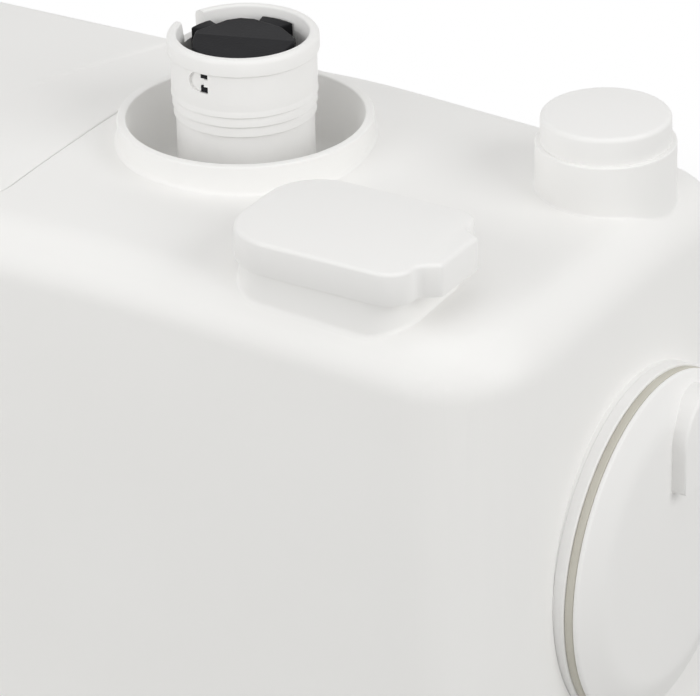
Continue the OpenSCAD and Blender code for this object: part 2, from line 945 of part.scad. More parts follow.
module valve_flap() {
    color(valve_black)
        difference() {
            union() {
                on_outlet()
                    translate([0, 0, valve_top + free])
                        cylinder(r = flap_r, h = flap_t);
                translate([outlet_x, flap_pin_y, flap_pin_z])
                    rod_x(flap_knuckle_r, -flap_knuckle_w / 2, flap_knuckle_w / 2);
                translate([outlet_x - flap_knuckle_w / 2, flap_pin_y - flap_r / 2, valve_top + free])
                    cube([flap_knuckle_w, flap_r / 2, flap_t]);
                for (side = [-1, 1])
                    translate([outlet_x + side * flap_r / 2 - 1, outlet_mid_y - flap_r / 2, valve_top + free + flap_t])
                        cube([2, flap_r, 1.2]);
            }
            translate([outlet_x, flap_pin_y, flap_pin_z])
                rod_x(flap_pin_r + run, -valve_r, valve_r);
        }
}

module valve_pin() {
    color(steel)
        translate([outlet_x, flap_pin_y, flap_pin_z])
            rod_x(flap_pin_r, -flap_pin_w / 2, flap_pin_w / 2);
}

module discharge_hose() {
    color(rubber_black)
        on_outlet()
            translate([0, 0, hose_low])
                tube(hose_r, outlet_r + run, hose_high - hose_low);
}

module hose_clips() {
    color(steel)
        on_outlet()
            for (z = clip_zs)
                translate([0, 0, z - clip_w / 2])
                    difference() {
                        union() {
                            cylinder(r = hose_r + run + clip_t, h = clip_w);
                            translate([-clip_box / 2, -hose_r - clip_t - clip_box, 0])
                                cube([clip_box, clip_box + clip_t, clip_w]);
                        }
                        translate([0, 0, -1])
                            cylinder(r = hose_r + run, h = clip_w + 2);
                    }
}

// Plan of the vent cover: a round-cornered plate with a finger tab between two scallops
module vent_plan() {
    difference() {
        union() {
            round_rect(vent_w, vent_d, vent_r);
            translate([vent_w / 2 - vent_r, -vent_d / 2 + vent_r])
                square([vent_r - scallop_r, vent_d - 2 * vent_r]);
            translate([vent_w / 2 - scallop_r, -tab_w / 2])
                square([scallop_r + tab_reach, tab_w]);
            translate([vent_w / 2 - scallop_r, -tab_w / 2 - scallop_r])
                square([2 * scallop_r, tab_w + 2 * scallop_r]);
        }
        for (y = [-1, 1])
            translate([vent_w / 2 + scallop_r, y * (tab_w / 2 + scallop_r)])
                circle(scallop_r);
    }
}

module vent_cover() {
    color(fitting_white)
        on_vent() {
            translate([0, 0, -vent_t])
                linear_extrude(vent_t)
                    vent_plan();
            translate([0, 0, -vent_t - vent_plug_h])
                round_plate(vent_pocket_w - 2 * slip, vent_pocket_d - 2 * slip, vent_pocket_r - slip,
                    vent_plug_h + eps);
        }
}

module carbon_filter() {
    color(charcoal)
        on_vent()
            translate([0, 0, vent_low + vent_floor_t])
                round_plate(vent_pocket_w - 2 * slip, vent_pocket_d - 2 * slip, vent_pocket_r - slip, filter_t);
}

module inlet_plug() {
    color(fitting_white)
        translate([plug_x, plug_y, socket_z])
            difference() {
                union() {
                    cylinder(r = plug_cap_d / 2, h = plug_cap_h);
                    translate([0, 0, -plug_len])
                        cylinder(r = socket_bore_r - slip, h = plug_len + eps);
                }
                translate([0, 0, -plug_len - 1])
                    cylinder(r = socket_bore_r - slip - 2 * plug_wall, h = plug_len - plug_wall);
                translate([0, 0, -plug_groove_drop - plug_ring_r])
                    tube(socket_bore_r + 1, socket_bore_r - slip - 2 * plug_ring_r, 2 * plug_ring_r);
            }
}

module plug_o_ring() {
    color(rubber_black)
        translate([plug_x, plug_y, socket_z - plug_groove_drop])
            rotate_extrude()
                translate([socket_bore_r - slip / 2 - plug_ring_r, 0])
                    circle(plug_ring_r - run);
}

module port_ring() {
    color(fitting_white)
        on_port()
            difference() {
                union() {
                    rod_x(port_ring_r, port_pad_x, port_ring_x);
                    rod_x(port_collar_r, port_pad_x - port_collar_len, port_pad_x + eps);
                }
                rod_x(port_bore_r, port_pad_x - port_collar_len - 1, port_ring_x + 1);
            }
}

module port_gasket() {
    color(seal_ivory)
        on_port()
            tube_x(port_collar_r, port_bore_r, port_ring_x, port_cover_x);
}

// Outline of the grip lug on the port cover, square below and round above
module lug_plan() {
    translate([-lug_w / 2, -lug_h / 2])
        square([lug_w, lug_h - lug_r]);
    translate([-lug_w / 2 + lug_r, -lug_h / 2])
        square([lug_w - 2 * lug_r, lug_h]);
    for (side = [-1, 1])
        translate([side * (lug_w / 2 - lug_r), lug_h / 2 - lug_r])
            circle(lug_r);
}

module port_cover() {
    color(fitting_white)
        on_port()
            difference() {
                union() {
                    rod_x(port_cover_r, port_cover_x, port_cover_x + port_cover_t - port_edge);
                    translate([port_cover_x + port_cover_t - port_edge, 0, 0])
                        rotate([0, 90, 0])
                            cylinder(r1 = port_cover_r, r2 = port_cover_r - port_edge, h = port_edge);
                    rod_x(port_bore_r - free, port_cover_x - port_spigot_len, port_cover_x + eps);
                    rotate([-lug_angle, 0, 0])
                        translate([port_cover_x + port_cover_t - eps, 0, lug_dist])
                            rotate([90, 0, 90])
                                linear_extrude(lug_t)
                                    lug_plan();
                }
                rod_x(port_bore_r - free - port_spigot_wall, port_cover_x - port_spigot_len - 1, port_cover_x);
            }
}

module motor_can() {
    color(zinc)
        on_shaft()
            difference() {
                rod_x(motor_r, motor_x, shield_x);
                difference() {
                    rod_x(motor_r - can_wall, motor_x + can_wall, shield_x + 1);
                    rod_x(bearing_r + hub_wall, motor_x, rear_bearing_x + bearing_w);
                }
                rod_x(bearing_r + run, motor_x + can_wall, shield_x);
            }
}

module stator() {
    color(copper)
        on_shaft()
            tube_x(motor_r - can_wall - run, rotor_r + air_gap, stator_x, stator_x + stator_len);
}

module rotor_core() {
    color(steel)
        on_shaft()
            tube_x(rotor_r, shaft_r + run, stator_x + 2, stator_x + stator_len - 2);
}

module drive_shaft() {
    color(steel)
        on_shaft()
            rod_x(shaft_r, shaft_x, shaft_end);
}

module motor_bearings() {
    color(steel)
        on_shaft()
            for (x = [rear_bearing_x, front_bearing_x])
                tube_x(bearing_r, shaft_r + run, x, x + bearing_w);
}

module motor_shield() {
    color(grey_plastic)
        on_shaft()
            difference() {
                union() {
                    rod_x(volute_flange_r, shield_x, volute_x);
                    rod_x(motor_r - can_wall - slip, shield_x - 4, shield_x + eps);
                    rod_x(bearing_r + hub_wall, front_bearing_x, shield_x);
                }
                rod_x(bearing_r + run, front_bearing_x - 1, front_bearing_x + bearing_w);
                rod_x(shaft_r + 1, front_bearing_x, volute_x + 1);
                rod_x(seal_r + run, shield_x, volute_x + 1);
                pump_bolt_holes(bolt_r);
            }
}

// Bores for the bolts that clamp volute and shield
module pump_bolt_holes(r) {
    for (turn = bolt_turns)
        rotate([turn, 0, 0])
            translate([0, 0, bolt_ring_r])
                rod_x(r, shield_x - 1, volute_x + volute_flange_t + 1);
}

module shaft_seal() {
    color(rubber_black)
        on_shaft()
            tube_x(seal_r, shaft_r + run, shield_x, volute_x - run);
}

module motor_cradle() {
    color(grey_plastic)
        difference() {
            for (x = saddle_xs)
                translate([x, shaft_y - saddle_half, floor_z])
                    cube([saddle_w, 2 * saddle_half, axis_z - saddle_rise - floor_z]);
            on_shaft()
                rod_x(motor_r + run, motor_x - 1, shield_x + 1);
        }
}

module pump_volute() {
    color(grey_plastic)
        difference() {
            union() {
                on_shaft() {
                    rod_x(volute_r, volute_x, volute_end - suction_t);
                    rod_x(volute_flange_r, volute_x, volute_x + volute_flange_t);
                }
                on_outlet()
                    translate([0, 0, axis_z])
                        cylinder(r = outlet_r, h = spigot_top - axis_z);
                translate([outlet_x - pump_foot_w / 2, shaft_y - pump_foot_d / 2, floor_z])
                    cube([pump_foot_w, pump_foot_d, axis_z - floor_z]);
            }
            on_shaft() {
                rod_x(volute_r - volute_wall, volute_x + volute_wall, volute_end);
                rod_x(shaft_r + 1, volute_x - 1, volute_end);
                pump_bolt_holes(bolt_r);
            }
            on_outlet()
                translate([0, 0, axis_z + outlet_wall])
                    cylinder(r = outlet_bore_r, h = spigot_top);
            on_shaft()
                rod_x(2 * volute_r, volute_end - suction_t, volute_end + outlet_d);
        }
}

module suction_cover() {
    color(grey_plastic)
        on_shaft()
            difference() {
                union() {
                    rod_x(volute_r, volute_end - suction_t, volute_end);
                    rod_x(volute_r - volute_wall - slip, volute_end - suction_t - 3, volute_end - suction_t + eps);
                }
                rod_x(eye_r, volute_end - suction_t - 4, volute_end + 1);
            }
}

module impeller() {
    color(charcoal)
        on_shaft()
            difference() {
                union() {
                    rod_x(impeller_r, impeller_x, impeller_x + shroud_t);
                    rod_x(shaft_r + 4, impeller_x, impeller_end);
                    for (i = [0 : vanes - 1])
                        rotate([i * 360 / vanes, 0, 0])
                            translate([impeller_x, -vane_t / 2, shaft_r + 2])
                                cube([impeller_end - impeller_x, vane_t, impeller_r - shaft_r - 4]);
                }
                rod_x(shaft_r + run, impeller_x - 1, impeller_end + 1);
            }
}

module cutter() {
    color(steel)
        on_shaft()
            difference() {
                union() {
                    rod_x(cutter_hub_r, cutter_x, cutter_x + cutter_hub_len);
                    for (i = [0 : cutter_rows - 1])
                        rotate([i * 180 / cutter_rows, 0, 0])
                            translate([cutter_x + 4 + i * 14, -cutter_blade_w / 2, -cutter_r])
                                cube([cutter_blade_t, cutter_blade_w, cutter_d]);
                }
                rod_x(shaft_r + run, cutter_x - 1, cutter_x + cutter_hub_len + 1);
            }
}

module cutter_nut() {
    color(steel)
        on_shaft()
            difference() {
                translate([cutter_x + cutter_hub_len, 0, 0])
                    rotate([0, 90, 0])
                        cylinder(r = nut_r, h = nut_h, $fn = 6);
                rod_x(shaft_r + run, cutter_x + cutter_hub_len - 1, shaft_end + 1);
            }
}

module macerator_basket() {
    mid_x = (basket_x + basket_end) / 2;
    color(grey_plastic)
        difference() {
            union() {
                translate([mid_x, 0, basket_z])
                    round_plate(basket_len, 2 * basket_half, basket_r, basket_top - basket_z);
                translate([mid_x, port_y - spout_half, basket_top - spout_t])
                    cube([spout_x - mid_x, 2 * spout_half, spout_t]);
                for (x = [-1, 1], y = [-1, 1])
                    translate([mid_x + x * (basket_len / 2 - 12), y * (basket_half - 12), floor_z])
                        cylinder(r = leg_r, h = basket_z - floor_z + eps);
            }
            translate([mid_x, 0, basket_z + basket_wall])
                round_plate(basket_len - 2 * basket_wall, 2 * (basket_half - basket_wall),
                    basket_r - basket_wall, basket_top);
            on_shaft()
                rod_x(bush_r + run, basket_x - 1, basket_x + basket_wall + 1);
            for (i = [-1 : 1], j = [1 : basket_rows])
                translate([mid_x + i * hole_pitch_x, 0, basket_z + j * hole_pitch_z])
                    rotate([90, 0, 0])
                        cylinder(r = basket_hole_r, h = 2 * basket_half + 2, center = true);
            for (hole = floor_holes)
                translate([mid_x + hole[0], hole[1], basket_z - 1])
                    cylinder(r = basket_hole_r, h = basket_wall + 2);
        }
}

module shaft_bush() {
    color(fitting_white)
        on_shaft()
            difference() {
                union() {
                    rod_x(bush_r, basket_x - bush_flange_t, basket_x + basket_wall);
                    rod_x(bush_flange_r, basket_x - bush_flange_t, basket_x);
                }
                rod_x(shaft_r + run, basket_x - bush_flange_t - 1, basket_x + basket_wall + 1);
            }
}

module pump_screws() {
    color(steel)
        on_shaft()
            for (turn = bolt_turns)
                rotate([turn, 0, 0])
                    translate([0, 0, bolt_ring_r]) {
                        rod_x(bolt_r - run, shield_x, volute_x + volute_flange_t + eps);
                        rod_x(bolt_head_r, volute_x + volute_flange_t, volute_x + volute_flange_t + bolt_head_h);
                    }
}

module level_bell() {
    color(grey_plastic)
        translate([bell_x, 0, floor_z])
            difference() {
                cylinder(r = bell_r, h = bell_top - floor_z);
                translate([0, 0, -1])
                    cylinder(r = bell_r - bell_wall, h = bell_top - floor_z - bell_wall + 1);
                cylinder(r = switch_nipple_r - 2, h = bell_top);
                for (turn = [0, 90])
                    rotate([0, 0, turn])
                        cube([3 * bell_r, bell_slot_w, 2 * bell_slot_h], center = true);
            }
}

module switch_housing() {
    color(grey_plastic)
        translate([bell_x, 0, bell_top])
            difference() {
                cylinder(r = switch_r, h = switch_low_h);
                translate([0, 0, switch_wall])
                    cylinder(r = switch_r - switch_wall, h = switch_low_h);
                translate([0, 0, -1])
                    cylinder(r = switch_nipple_r - 2, h = switch_low_h);
            }
}

module switch_diaphragm() {
    color(rubber_black)
        translate([bell_x, 0, switch_seat_z])
            cylinder(r = switch_r, h = membrane_t);
}

module switch_plunger() {
    color(fitting_white)
        translate([bell_x, 0, plunger_z]) {
            cylinder(r = plunger_head_r, h = plunger_head_t);
            cylinder(r = plunger_r, h = plunger_top - plunger_z);
        }
}

module switch_cap() {
    color(grey_plastic)
        translate([bell_x, 0, switch_cap_z]) {
            difference() {
                cylinder(r = switch_r, h = switch_cap_h);
                translate([0, 0, -1])
                    cylinder(r = switch_r - switch_wall, h = switch_cap_h - switch_wall + 1);
                cylinder(r = plunger_r + run, h = switch_cap_h + 1);
            }
            for (side = [-1, 1])
                translate([side * (micro_w / 2 + micro_post_w / 2) - micro_post_w / 2, -micro_d / 2,
                    switch_cap_h - eps])
                    cube([micro_post_w, micro_d, micro_z + micro_h - switch_cap_z - switch_cap_h + eps]);
        }
}

module microswitch() {
    color(charcoal)
        translate([bell_x - micro_w / 2, -micro_d / 2, micro_z])
            cube([micro_w, micro_d, micro_h]);
}

module side_inlets() {
    color(fitting_white)
        for (side = [-1, 1])
            on_inlet(side)
                difference() {
                    union() {
                        rod_x(inlet_r, 0, inlet_reach);
                        rod_x(inlet_flange_r, 0, inlet_flange_t);
                        rod_x(inlet_neck_r, -inlet_neck_in, eps);
                    }
                    rod_x(inlet_bore_r, -inlet_neck_in - 1, inlet_reach + 1);
                }
}

// Hinged flap behind a side inlet
module inlet_flap(side) {
    color(rubber_black)
        on_inlet(side)
            difference() {
                union() {
                    rod_x(inlet_flap_r, -inlet_neck_in - free - inlet_flap_t, -inlet_neck_in - free);
                    translate([-inlet_pin_in - inlet_flap_t / 2, -inlet_knuckle_w / 2, 0])
                        cube([inlet_flap_t, inlet_knuckle_w, inlet_pin_up]);
                    translate([-inlet_pin_in, 0, inlet_pin_up])
                        rotate([90, 0, 0])
                            cylinder(r = inlet_knuckle_r, h = inlet_knuckle_w, center = true);
                }
                translate([-inlet_pin_in, 0, inlet_pin_up])
                    rotate([90, 0, 0])
                        cylinder(r = inlet_pin_r + run, h = 2 * inlet_knuckle_w, center = true);
            }
}

module left_flap() {
    inlet_flap(-1);
}

module right_flap() {
    inlet_flap(1);
}

module flap_pins() {
    color(steel)
        for (side = [-1, 1])
            on_inlet(side)
                translate([-inlet_pin_in, 0, inlet_pin_up])
                    rotate([90, 0, 0])
                        cylinder(r = inlet_pin_r, h = inlet_pin_w, center = true);
}

tank();
hood();
casing_seal();
casing_screws();
rubber_feet();
floor_brackets();
bracket_screws();
lid();
lid_gasket();
control_tray();
control_board();
capacitor();
terminal_block();
cable_gland();
gland_nut();
outlet_stub();
outlet_seal();
valve_body();
valve_flap();
valve_pin();
discharge_hose();
hose_clips();
vent_cover();
carbon_filter();
inlet_plug();
plug_o_ring();
port_ring();
port_gasket();
port_cover();
motor_can();
stator();
rotor_core();
drive_shaft();
motor_bearings();
motor_shield();
shaft_seal();
motor_cradle();
pump_volute();
suction_cover();
impeller();
cutter();
cutter_nut();
macerator_basket();
shaft_bush();
pump_screws();
level_bell();
switch_housing();
switch_diaphragm();
switch_plunger();
switch_cap();
microswitch();
side_inlets();
left_flap();
right_flap();
flap_pins();
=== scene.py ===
"""Looks of a macerator toilet pump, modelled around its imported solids.

Sizes are in millimetres in the part's own frame: the origin is on the floor under the middle of the casing, +X is the
end with the side port, -Y the front and +Z is up. Each finished mesh is brought to metres when it is dressed.
"""
import logging
import math
from contextlib import contextmanager
from dataclasses import dataclass, field
from enum import Enum
from typing import Callable, Iterable, Iterator, Sequence

import bpy
from mathutils import Matrix, Vector
from mathutils.bvhtree import BVHTree


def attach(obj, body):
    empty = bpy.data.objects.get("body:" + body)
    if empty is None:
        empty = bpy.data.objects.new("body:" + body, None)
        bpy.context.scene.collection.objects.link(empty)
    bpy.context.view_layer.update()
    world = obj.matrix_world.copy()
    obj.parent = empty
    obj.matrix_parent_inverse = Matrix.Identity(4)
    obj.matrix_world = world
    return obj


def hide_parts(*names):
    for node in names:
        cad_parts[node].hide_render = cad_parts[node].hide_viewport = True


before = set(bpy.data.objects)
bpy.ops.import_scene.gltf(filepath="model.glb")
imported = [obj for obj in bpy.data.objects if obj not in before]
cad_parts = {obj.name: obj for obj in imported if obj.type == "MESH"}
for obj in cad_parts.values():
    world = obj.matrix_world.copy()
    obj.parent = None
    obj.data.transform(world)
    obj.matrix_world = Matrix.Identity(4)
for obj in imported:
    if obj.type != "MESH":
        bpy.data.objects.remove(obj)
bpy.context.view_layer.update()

LOG = logging.getLogger("macerator_pump")

METRES = 0.001
SMOOTH_ANGLE = math.radians(32)
ROUND_STEPS = 96
MERGE_GAP = 1e-4
MOTTLE_LAYERS = 4.0
RELIEF_LAYERS = 3.0
MOTTLE_SPAN = (0.32, 0.68)
GLOSS_SPAN = (0.3, 0.7)
FOOT_SINK = 0.05
FOOT_DEEP = 1.2
FLARE_STEPS = 6
CREST_STEPS = 24
TOUCH = 0.01
OVERRUN = 10.0
PAST = 5.0

Outline = list[tuple[float, float]]
Loop = list[Vector]
Colour = tuple[float, float, float]
Shape = tuple[float, float, float]
Test = Callable[[Vector, Vector], bool]
Piece = bpy.types.Object
Nodes = bpy.types.NodeTree
Socket = bpy.types.NodeSocket


class Axis(Enum):
    """Axis that a round piece is spun about."""

    X = (1.0, 0.0, 0.0)
    Y = (0.0, 1.0, 0.0)
    Z = (0.0, 0.0, 1.0)


class Cut(Enum):
    """Ways to combine a mesh with a cutter."""

    DIFFERENCE = "DIFFERENCE"
    UNION = "UNION"


def deselect() -> None:
    """Leaves edit mode and deselects everything."""
    active = bpy.context.view_layer.objects.active
    if active and active.mode != "OBJECT":
        bpy.ops.object.mode_set(mode="OBJECT")
    bpy.ops.object.select_all(action="DESELECT")


def focus(obj: Piece) -> None:
    """Makes one object the only selected and active one.

    Args:
        obj: The object.
    """
    deselect()
    obj.select_set(True)
    bpy.context.view_layer.objects.active = obj


@contextmanager
def editing(obj: Piece) -> Iterator[None]:
    """Holds one object in edit mode.

    Args:
        obj: The object to edit.
    """
    focus(obj)
    bpy.ops.object.mode_set(mode="EDIT")
    yield
    bpy.ops.object.mode_set(mode="OBJECT")


def clear_picks(obj: Piece, kind: str) -> None:
    """Clears the selection in a mesh and sets what is selected in it.

    Args:
        obj: The object, in object mode.
        kind: EDGE or FACE.
    """
    with editing(obj):
        bpy.ops.mesh.select_mode(type=kind)
        bpy.ops.mesh.select_all(action="DESELECT")


def pick_edges(obj: Piece, test: Test) -> None:
    """Selects the edges whose two ends pass a test, and nothing else.

    Args:
        obj: The object, in object mode.
        test: Takes an edge's two ends.
    """
    clear_picks(obj, "EDGE")
    spots = obj.data.vertices
    for edge in obj.data.edges:
        edge.select = test(*(spots[i].co for i in edge.vertices))


def pick_faces(obj: Piece, test: Test) -> None:
    """Selects the faces whose middle and normal pass a test, and nothing else.

    Args:
        obj: The object, in object mode.
        test: Takes a face's middle and its normal.
    """
    clear_picks(obj, "FACE")
    for face in obj.data.polygons:
        face.select = test(face.center, face.normal)


def bevel_edges(obj: Piece, width: float, segments: int, test: Test) -> None:
    """Rounds the edges that pass a test.

    Args:
        obj: The object, in object mode.
        width: Radius of the rounding.
        segments: Number of strips across the rounding.
        test: Takes an edge's two ends.
    """
    pick_edges(obj, test)
    with editing(obj):
        bpy.ops.mesh.bevel(offset=width, segments=segments, profile=0.5, affect="EDGES", clamp_overlap=False)


def on_top(level: float) -> Test:
    """Test that finds the edges on the top of a mesh."""
    return lambda a, b: min(a.z, b.z) > level - TOUCH


def slice_mesh(obj: Piece, planes: Iterable[tuple[Vector, Vector]]) -> None:
    """Adds edges where planes meet a mesh.

    Args:
        obj: The object, in object mode.
        planes: A point and the normal of each plane.
    """
    with editing(obj):
        for point, normal in planes:
            bpy.ops.mesh.select_all(action="SELECT")
            bpy.ops.mesh.bisect(plane_co=point, plane_no=normal)


def combine(obj: Piece, other: Piece, how: Cut = Cut.DIFFERENCE) -> None:
    """Combines a mesh with another one, which is used up.

    Args:
        obj: The object that is changed.
        other: The cutter.
        how: What is done with the cutter.
    """
    focus(obj)
    modifier = obj.modifiers.new("combine", "BOOLEAN")
    modifier.operation = how.value
    modifier.solver = "EXACT"
    modifier.object = other
    bpy.ops.object.modifier_apply(modifier=modifier.name)
    bpy.data.objects.remove(other, do_unlink=True)


def tidy_mesh(obj: Piece) -> None:
    """Merges doubled points and turns the faces outwards.

    Args:
        obj: The object, in object mode.
    """
    with editing(obj):
        bpy.ops.mesh.select_all(action="SELECT")
        bpy.ops.mesh.remove_doubles(threshold=MERGE_GAP)
        bpy.ops.mesh.normals_make_consistent(inside=False)


def ease(start: float, stop: float, value: float) -> float:
    """Share of a value between a start, at 0, and a stop, at 1, with soft ends."""
    t = min(1.0, max(0.0, (value - start) / (stop - start)))
    return t * t * (3.0 - 2.0 * t)


def place_at(x: float, y: float, z: float) -> Vector:
    """Field of a dataclass that holds a place."""
    return field(default_factory=lambda: Vector((x, y, z)))


def rounded(corners: Sequence[tuple[float, float, float]], steps: int = 6) -> Outline:
    """Rounds the corners of a polygon with arcs.

    Args:
        corners: Each corner as across, along and the radius of its arc.
        steps: Number of chords in an arc.

    Returns:
        The outline's points in order.
    """
    points: Outline = []
    count = len(corners)
    for i, (x, y, radius) in enumerate(corners):
        if radius <= 0:
            points.append((x, y))
            continue
        here = Vector((x, y))
        before = (Vector(corners[i - 1][:2]) - here).normalized()
        after = (Vector(corners[(i + 1) % count][:2]) - here).normalized()
        half = before.angle(after) / 2
        middle = here + (before + after).normalized() * radius / math.sin(half)
        reach = radius / math.tan(half)
        first = here + before * reach - middle
        last = here + after * reach - middle
        sweep = math.atan2(first.x * last.y - first.y * last.x, first.dot(last))
        for k in range(steps + 1):
            turn = Matrix.Rotation(sweep * k / steps, 2)
            spot = middle + turn @ first
            points.append((spot.x, spot.y))
    return points


def round_rect(width: float, depth: float, radius: float, steps: int = 8) -> Outline:
    """Outline of a rectangle about the origin with round corners, each of a number of chords."""
    w, d = width / 2, depth / 2
    return rounded([(w, -d, radius), (w, d, radius), (-w, d, radius), (-w, -d, radius)], steps)


def grown(shape: Shape, out: float) -> Shape:
    """Width, depth and corner radius of a rectangle that has grown to all sides."""
    return shape[0] + 2 * out, shape[1] + 2 * out, shape[2] + out


def oblong(start: float, stop: float, half: float) -> Outline:
    """Outline of a rectangle from one place along X to another, reaching as far to both sides."""
    return [(start, -half), (stop, -half), (stop, half), (start, half)]


def spun(name: str, profile: Outline, axis: Axis, centre: Vector) -> Piece:
    """Spins a closed profile about an axis.

    Args:
        name: Name of the object.
        profile: Radius and place along the axis of each point.
        axis: The axis.
        centre: A point on the axis.

    Returns:
        The object.
    """
    along = Vector(axis.value)
    across = Vector((0.0, 0.0, 1.0)) if axis is Axis.X else Vector((1.0, 0.0, 0.0))
    spots = [centre + across * r + along * h for r, h in profile]
    deselect()
    bpy.ops.mesh.primitive_plane_add(size=1.0, location=(0.0, 0.0, 0.0))
    obj = bpy.context.object
    obj.name = obj.data.name = name
    with editing(obj):
        bpy.ops.mesh.select_mode(type="VERT")
        bpy.ops.mesh.select_all(action="SELECT")
        bpy.ops.mesh.merge(type="CENTER")
        bpy.ops.transform.translate(value=spots[0])
        for here, there in zip(spots, spots[1:] + spots[:1]):
            bpy.ops.mesh.extrude_vertices_move(TRANSFORM_OT_translate={"value": there - here})
        bpy.ops.mesh.select_all(action="SELECT")
        bpy.ops.mesh.remove_doubles(threshold=MERGE_GAP)
        bpy.ops.mesh.spin(steps=ROUND_STEPS, angle=math.tau, center=centre, axis=along)
    tidy_mesh(obj)
    return obj


def lofted(name: str, loops: Sequence[Loop], ring: bool = False) -> Piece:
    """Extrudes an outline through a row of outlines with as many points.

    Args:
        name: Name of the object.
        loops: The outlines, each with its points in the same order.
        ring: Whether the last outline joins the first. Otherwise both ends are filled.

    Returns:
        The object.
    """
    count = len(loops[0])
    deselect()
    bpy.ops.mesh.primitive_circle_add(vertices=count, radius=1.0, fill_type="NOTHING")
    obj = bpy.context.object
    obj.name = obj.data.name = name
    for vertex, spot in zip(obj.data.vertices, loops[0]):
        vertex.co = spot
    if not ring:
        with editing(obj):
            bpy.ops.mesh.edge_face_add()
    for loop, former in zip(loops[1:], loops):
        base = len(obj.data.vertices)
        with editing(obj):
            bpy.ops.mesh.select_mode(type="EDGE")
            bpy.ops.mesh.extrude_region_move(TRANSFORM_OT_translate={"value": (0.0, 0.0, 0.0)})
        place = {tuple(round(c, 3) for c in spot): i for i, spot in enumerate(former)}
        fresh = list(obj.data.vertices)[base:]
        order = [place[tuple(round(c, 3) for c in v.co)] for v in fresh]
        for vertex, i in zip(fresh, order):
            vertex.co = loop[i]
    if ring:
        first = set(range(count))
        last = set(range(len(obj.data.vertices) - count, len(obj.data.vertices)))
        clear_picks(obj, "EDGE")
        for edge in obj.data.edges:
            ends = set(edge.vertices)
            edge.select = ends <= first or ends <= last
        with editing(obj):
            bpy.ops.mesh.bridge_edge_loops()
    tidy_mesh(obj)
    return obj


def prism(name: str, outline: Outline, low: float, high: float, place: Matrix | None = None) -> Piece:
    """Extrudes an outline upright between two heights, in a frame of its own where one is given."""
    place = place or Matrix.Identity(4)
    return lofted(name, [[place @ Vector((x, y, z)) for x, y in outline] for z in (low, high)])


def rod(name: str, radius: float, low: float, high: float, axis: Axis, centre: Vector) -> Piece:
    """Models a cylinder.

    Args:
        name: Name of the object.
        radius: Its radius.
        low: Where it starts along the axis.
        high: Where it ends along the axis.
        axis: Its axis.
        centre: A point on the axis.

    Returns:
        The object.
    """
    deselect()
    along = Vector(axis.value)
    turn = Vector((0.0, 0.0, 1.0)).rotation_difference(along).to_euler()
    bpy.ops.mesh.primitive_cylinder_add(vertices=ROUND_STEPS, radius=radius, depth=high - low,
                                        location=centre + along * (low + high) / 2, rotation=turn)
    obj = bpy.context.object
    obj.name = name
    bpy.ops.object.transform_apply(location=True, rotation=True, scale=True)
    return obj


def add_node(tree: Nodes, kind: str, **values: object) -> bpy.types.Node:
    """Adds a shader node.

    Args:
        tree: The nodes.
        kind: The node's type without its common first part.
        values: Values of its inputs, with _ for a blank in a name.

    Returns:
        The node.
    """
    node = tree.nodes.new(f"ShaderNode{kind}")
    for name, value in values.items():
        node.inputs[name.replace("_", " ")].default_value = value
    return node


def link(tree: Nodes, *pairs: tuple[Socket, Socket]) -> None:
    """Joins outputs of nodes to inputs."""
    for source, target in pairs:
        tree.links.new(source, target)


@dataclass(frozen=True)
class Finish:
    """A moulded, rubber or metal finish with mottled colour, uneven gloss and a fine relief."""

    name: str
    colour: Colour
    mottle: Colour
    roughness: float
    gloss_spread: float = 0.06
    mottle_size: float = 60.0
    relief_size: float = 1.2
    relief: float = 0.02
    metallic: float = 0.0
    specular: float = 0.5
    streak: tuple[float, float, float] = (1.0, 1.0, 1.0)

    @property
    def slot(self) -> str:
        """Name of the slot, which is the finish's own."""
        return self.name

    def material(self) -> bpy.types.Material:
        """Makes the material, or finds it where it is made.

        Returns:
            The material.
        """
        label = f"{self.name}_finish"
        found = bpy.data.materials.get(label)
        if found:
            return found
        made = bpy.data.materials.new(label)
        made.use_nodes = True
        tree = made.node_tree
        shader = tree.nodes["Principled BSDF"]
        shader.inputs["Metallic"].default_value = self.metallic
        shader.inputs["Specular IOR Level"].default_value = self.specular
        turn = add_node(tree, "Mapping", Scale=self.streak)
        cloud = self.noise(tree, turn, self.mottle_size, MOTTLE_LAYERS)
        grain = self.noise(tree, turn, self.relief_size, RELIEF_LAYERS)
        ramp = add_node(tree, "ValToRGB")
        for element, level, colour in zip(ramp.color_ramp.elements, MOTTLE_SPAN, (self.mottle, self.colour)):
            element.position = level
            element.color = (*colour, 1.0)
        half = self.gloss_spread / 2
        gloss = add_node(tree, "MapRange", From_Min=GLOSS_SPAN[0], From_Max=GLOSS_SPAN[1],
                         To_Min=self.roughness - half, To_Max=self.roughness + half)
        bump = add_node(tree, "Bump", Strength=self.relief, Distance=self.relief_size * METRES)
        link(tree, (add_node(tree, "TexCoord").outputs["Object"], turn.inputs["Vector"]), (cloud, ramp.inputs["Fac"]),
             (ramp.outputs["Color"], shader.inputs["Base Color"]), (cloud, gloss.inputs["Value"]),
             (gloss.outputs["Result"], shader.inputs["Roughness"]), (grain, bump.inputs["Height"]),
             (bump.outputs["Normal"], shader.inputs["Normal"]))
        return made

    @staticmethod
    def noise(tree: Nodes, source: bpy.types.Node, size: float, detail: float) -> Socket:
        """Adds a noise pattern.

        Args:
            tree: The material's nodes.
            source: The mapping that places the pattern.
            size: Size of the blotches in millimetres.
            detail: Number of finer layers.

        Returns:
            The pattern's height.
        """
        pattern = add_node(tree, "TexNoise", Scale=1.0 / (size * METRES), Detail=detail)
        link(tree, (source.outputs["Vector"], pattern.inputs["Vector"]))
        return pattern.outputs["Fac"]


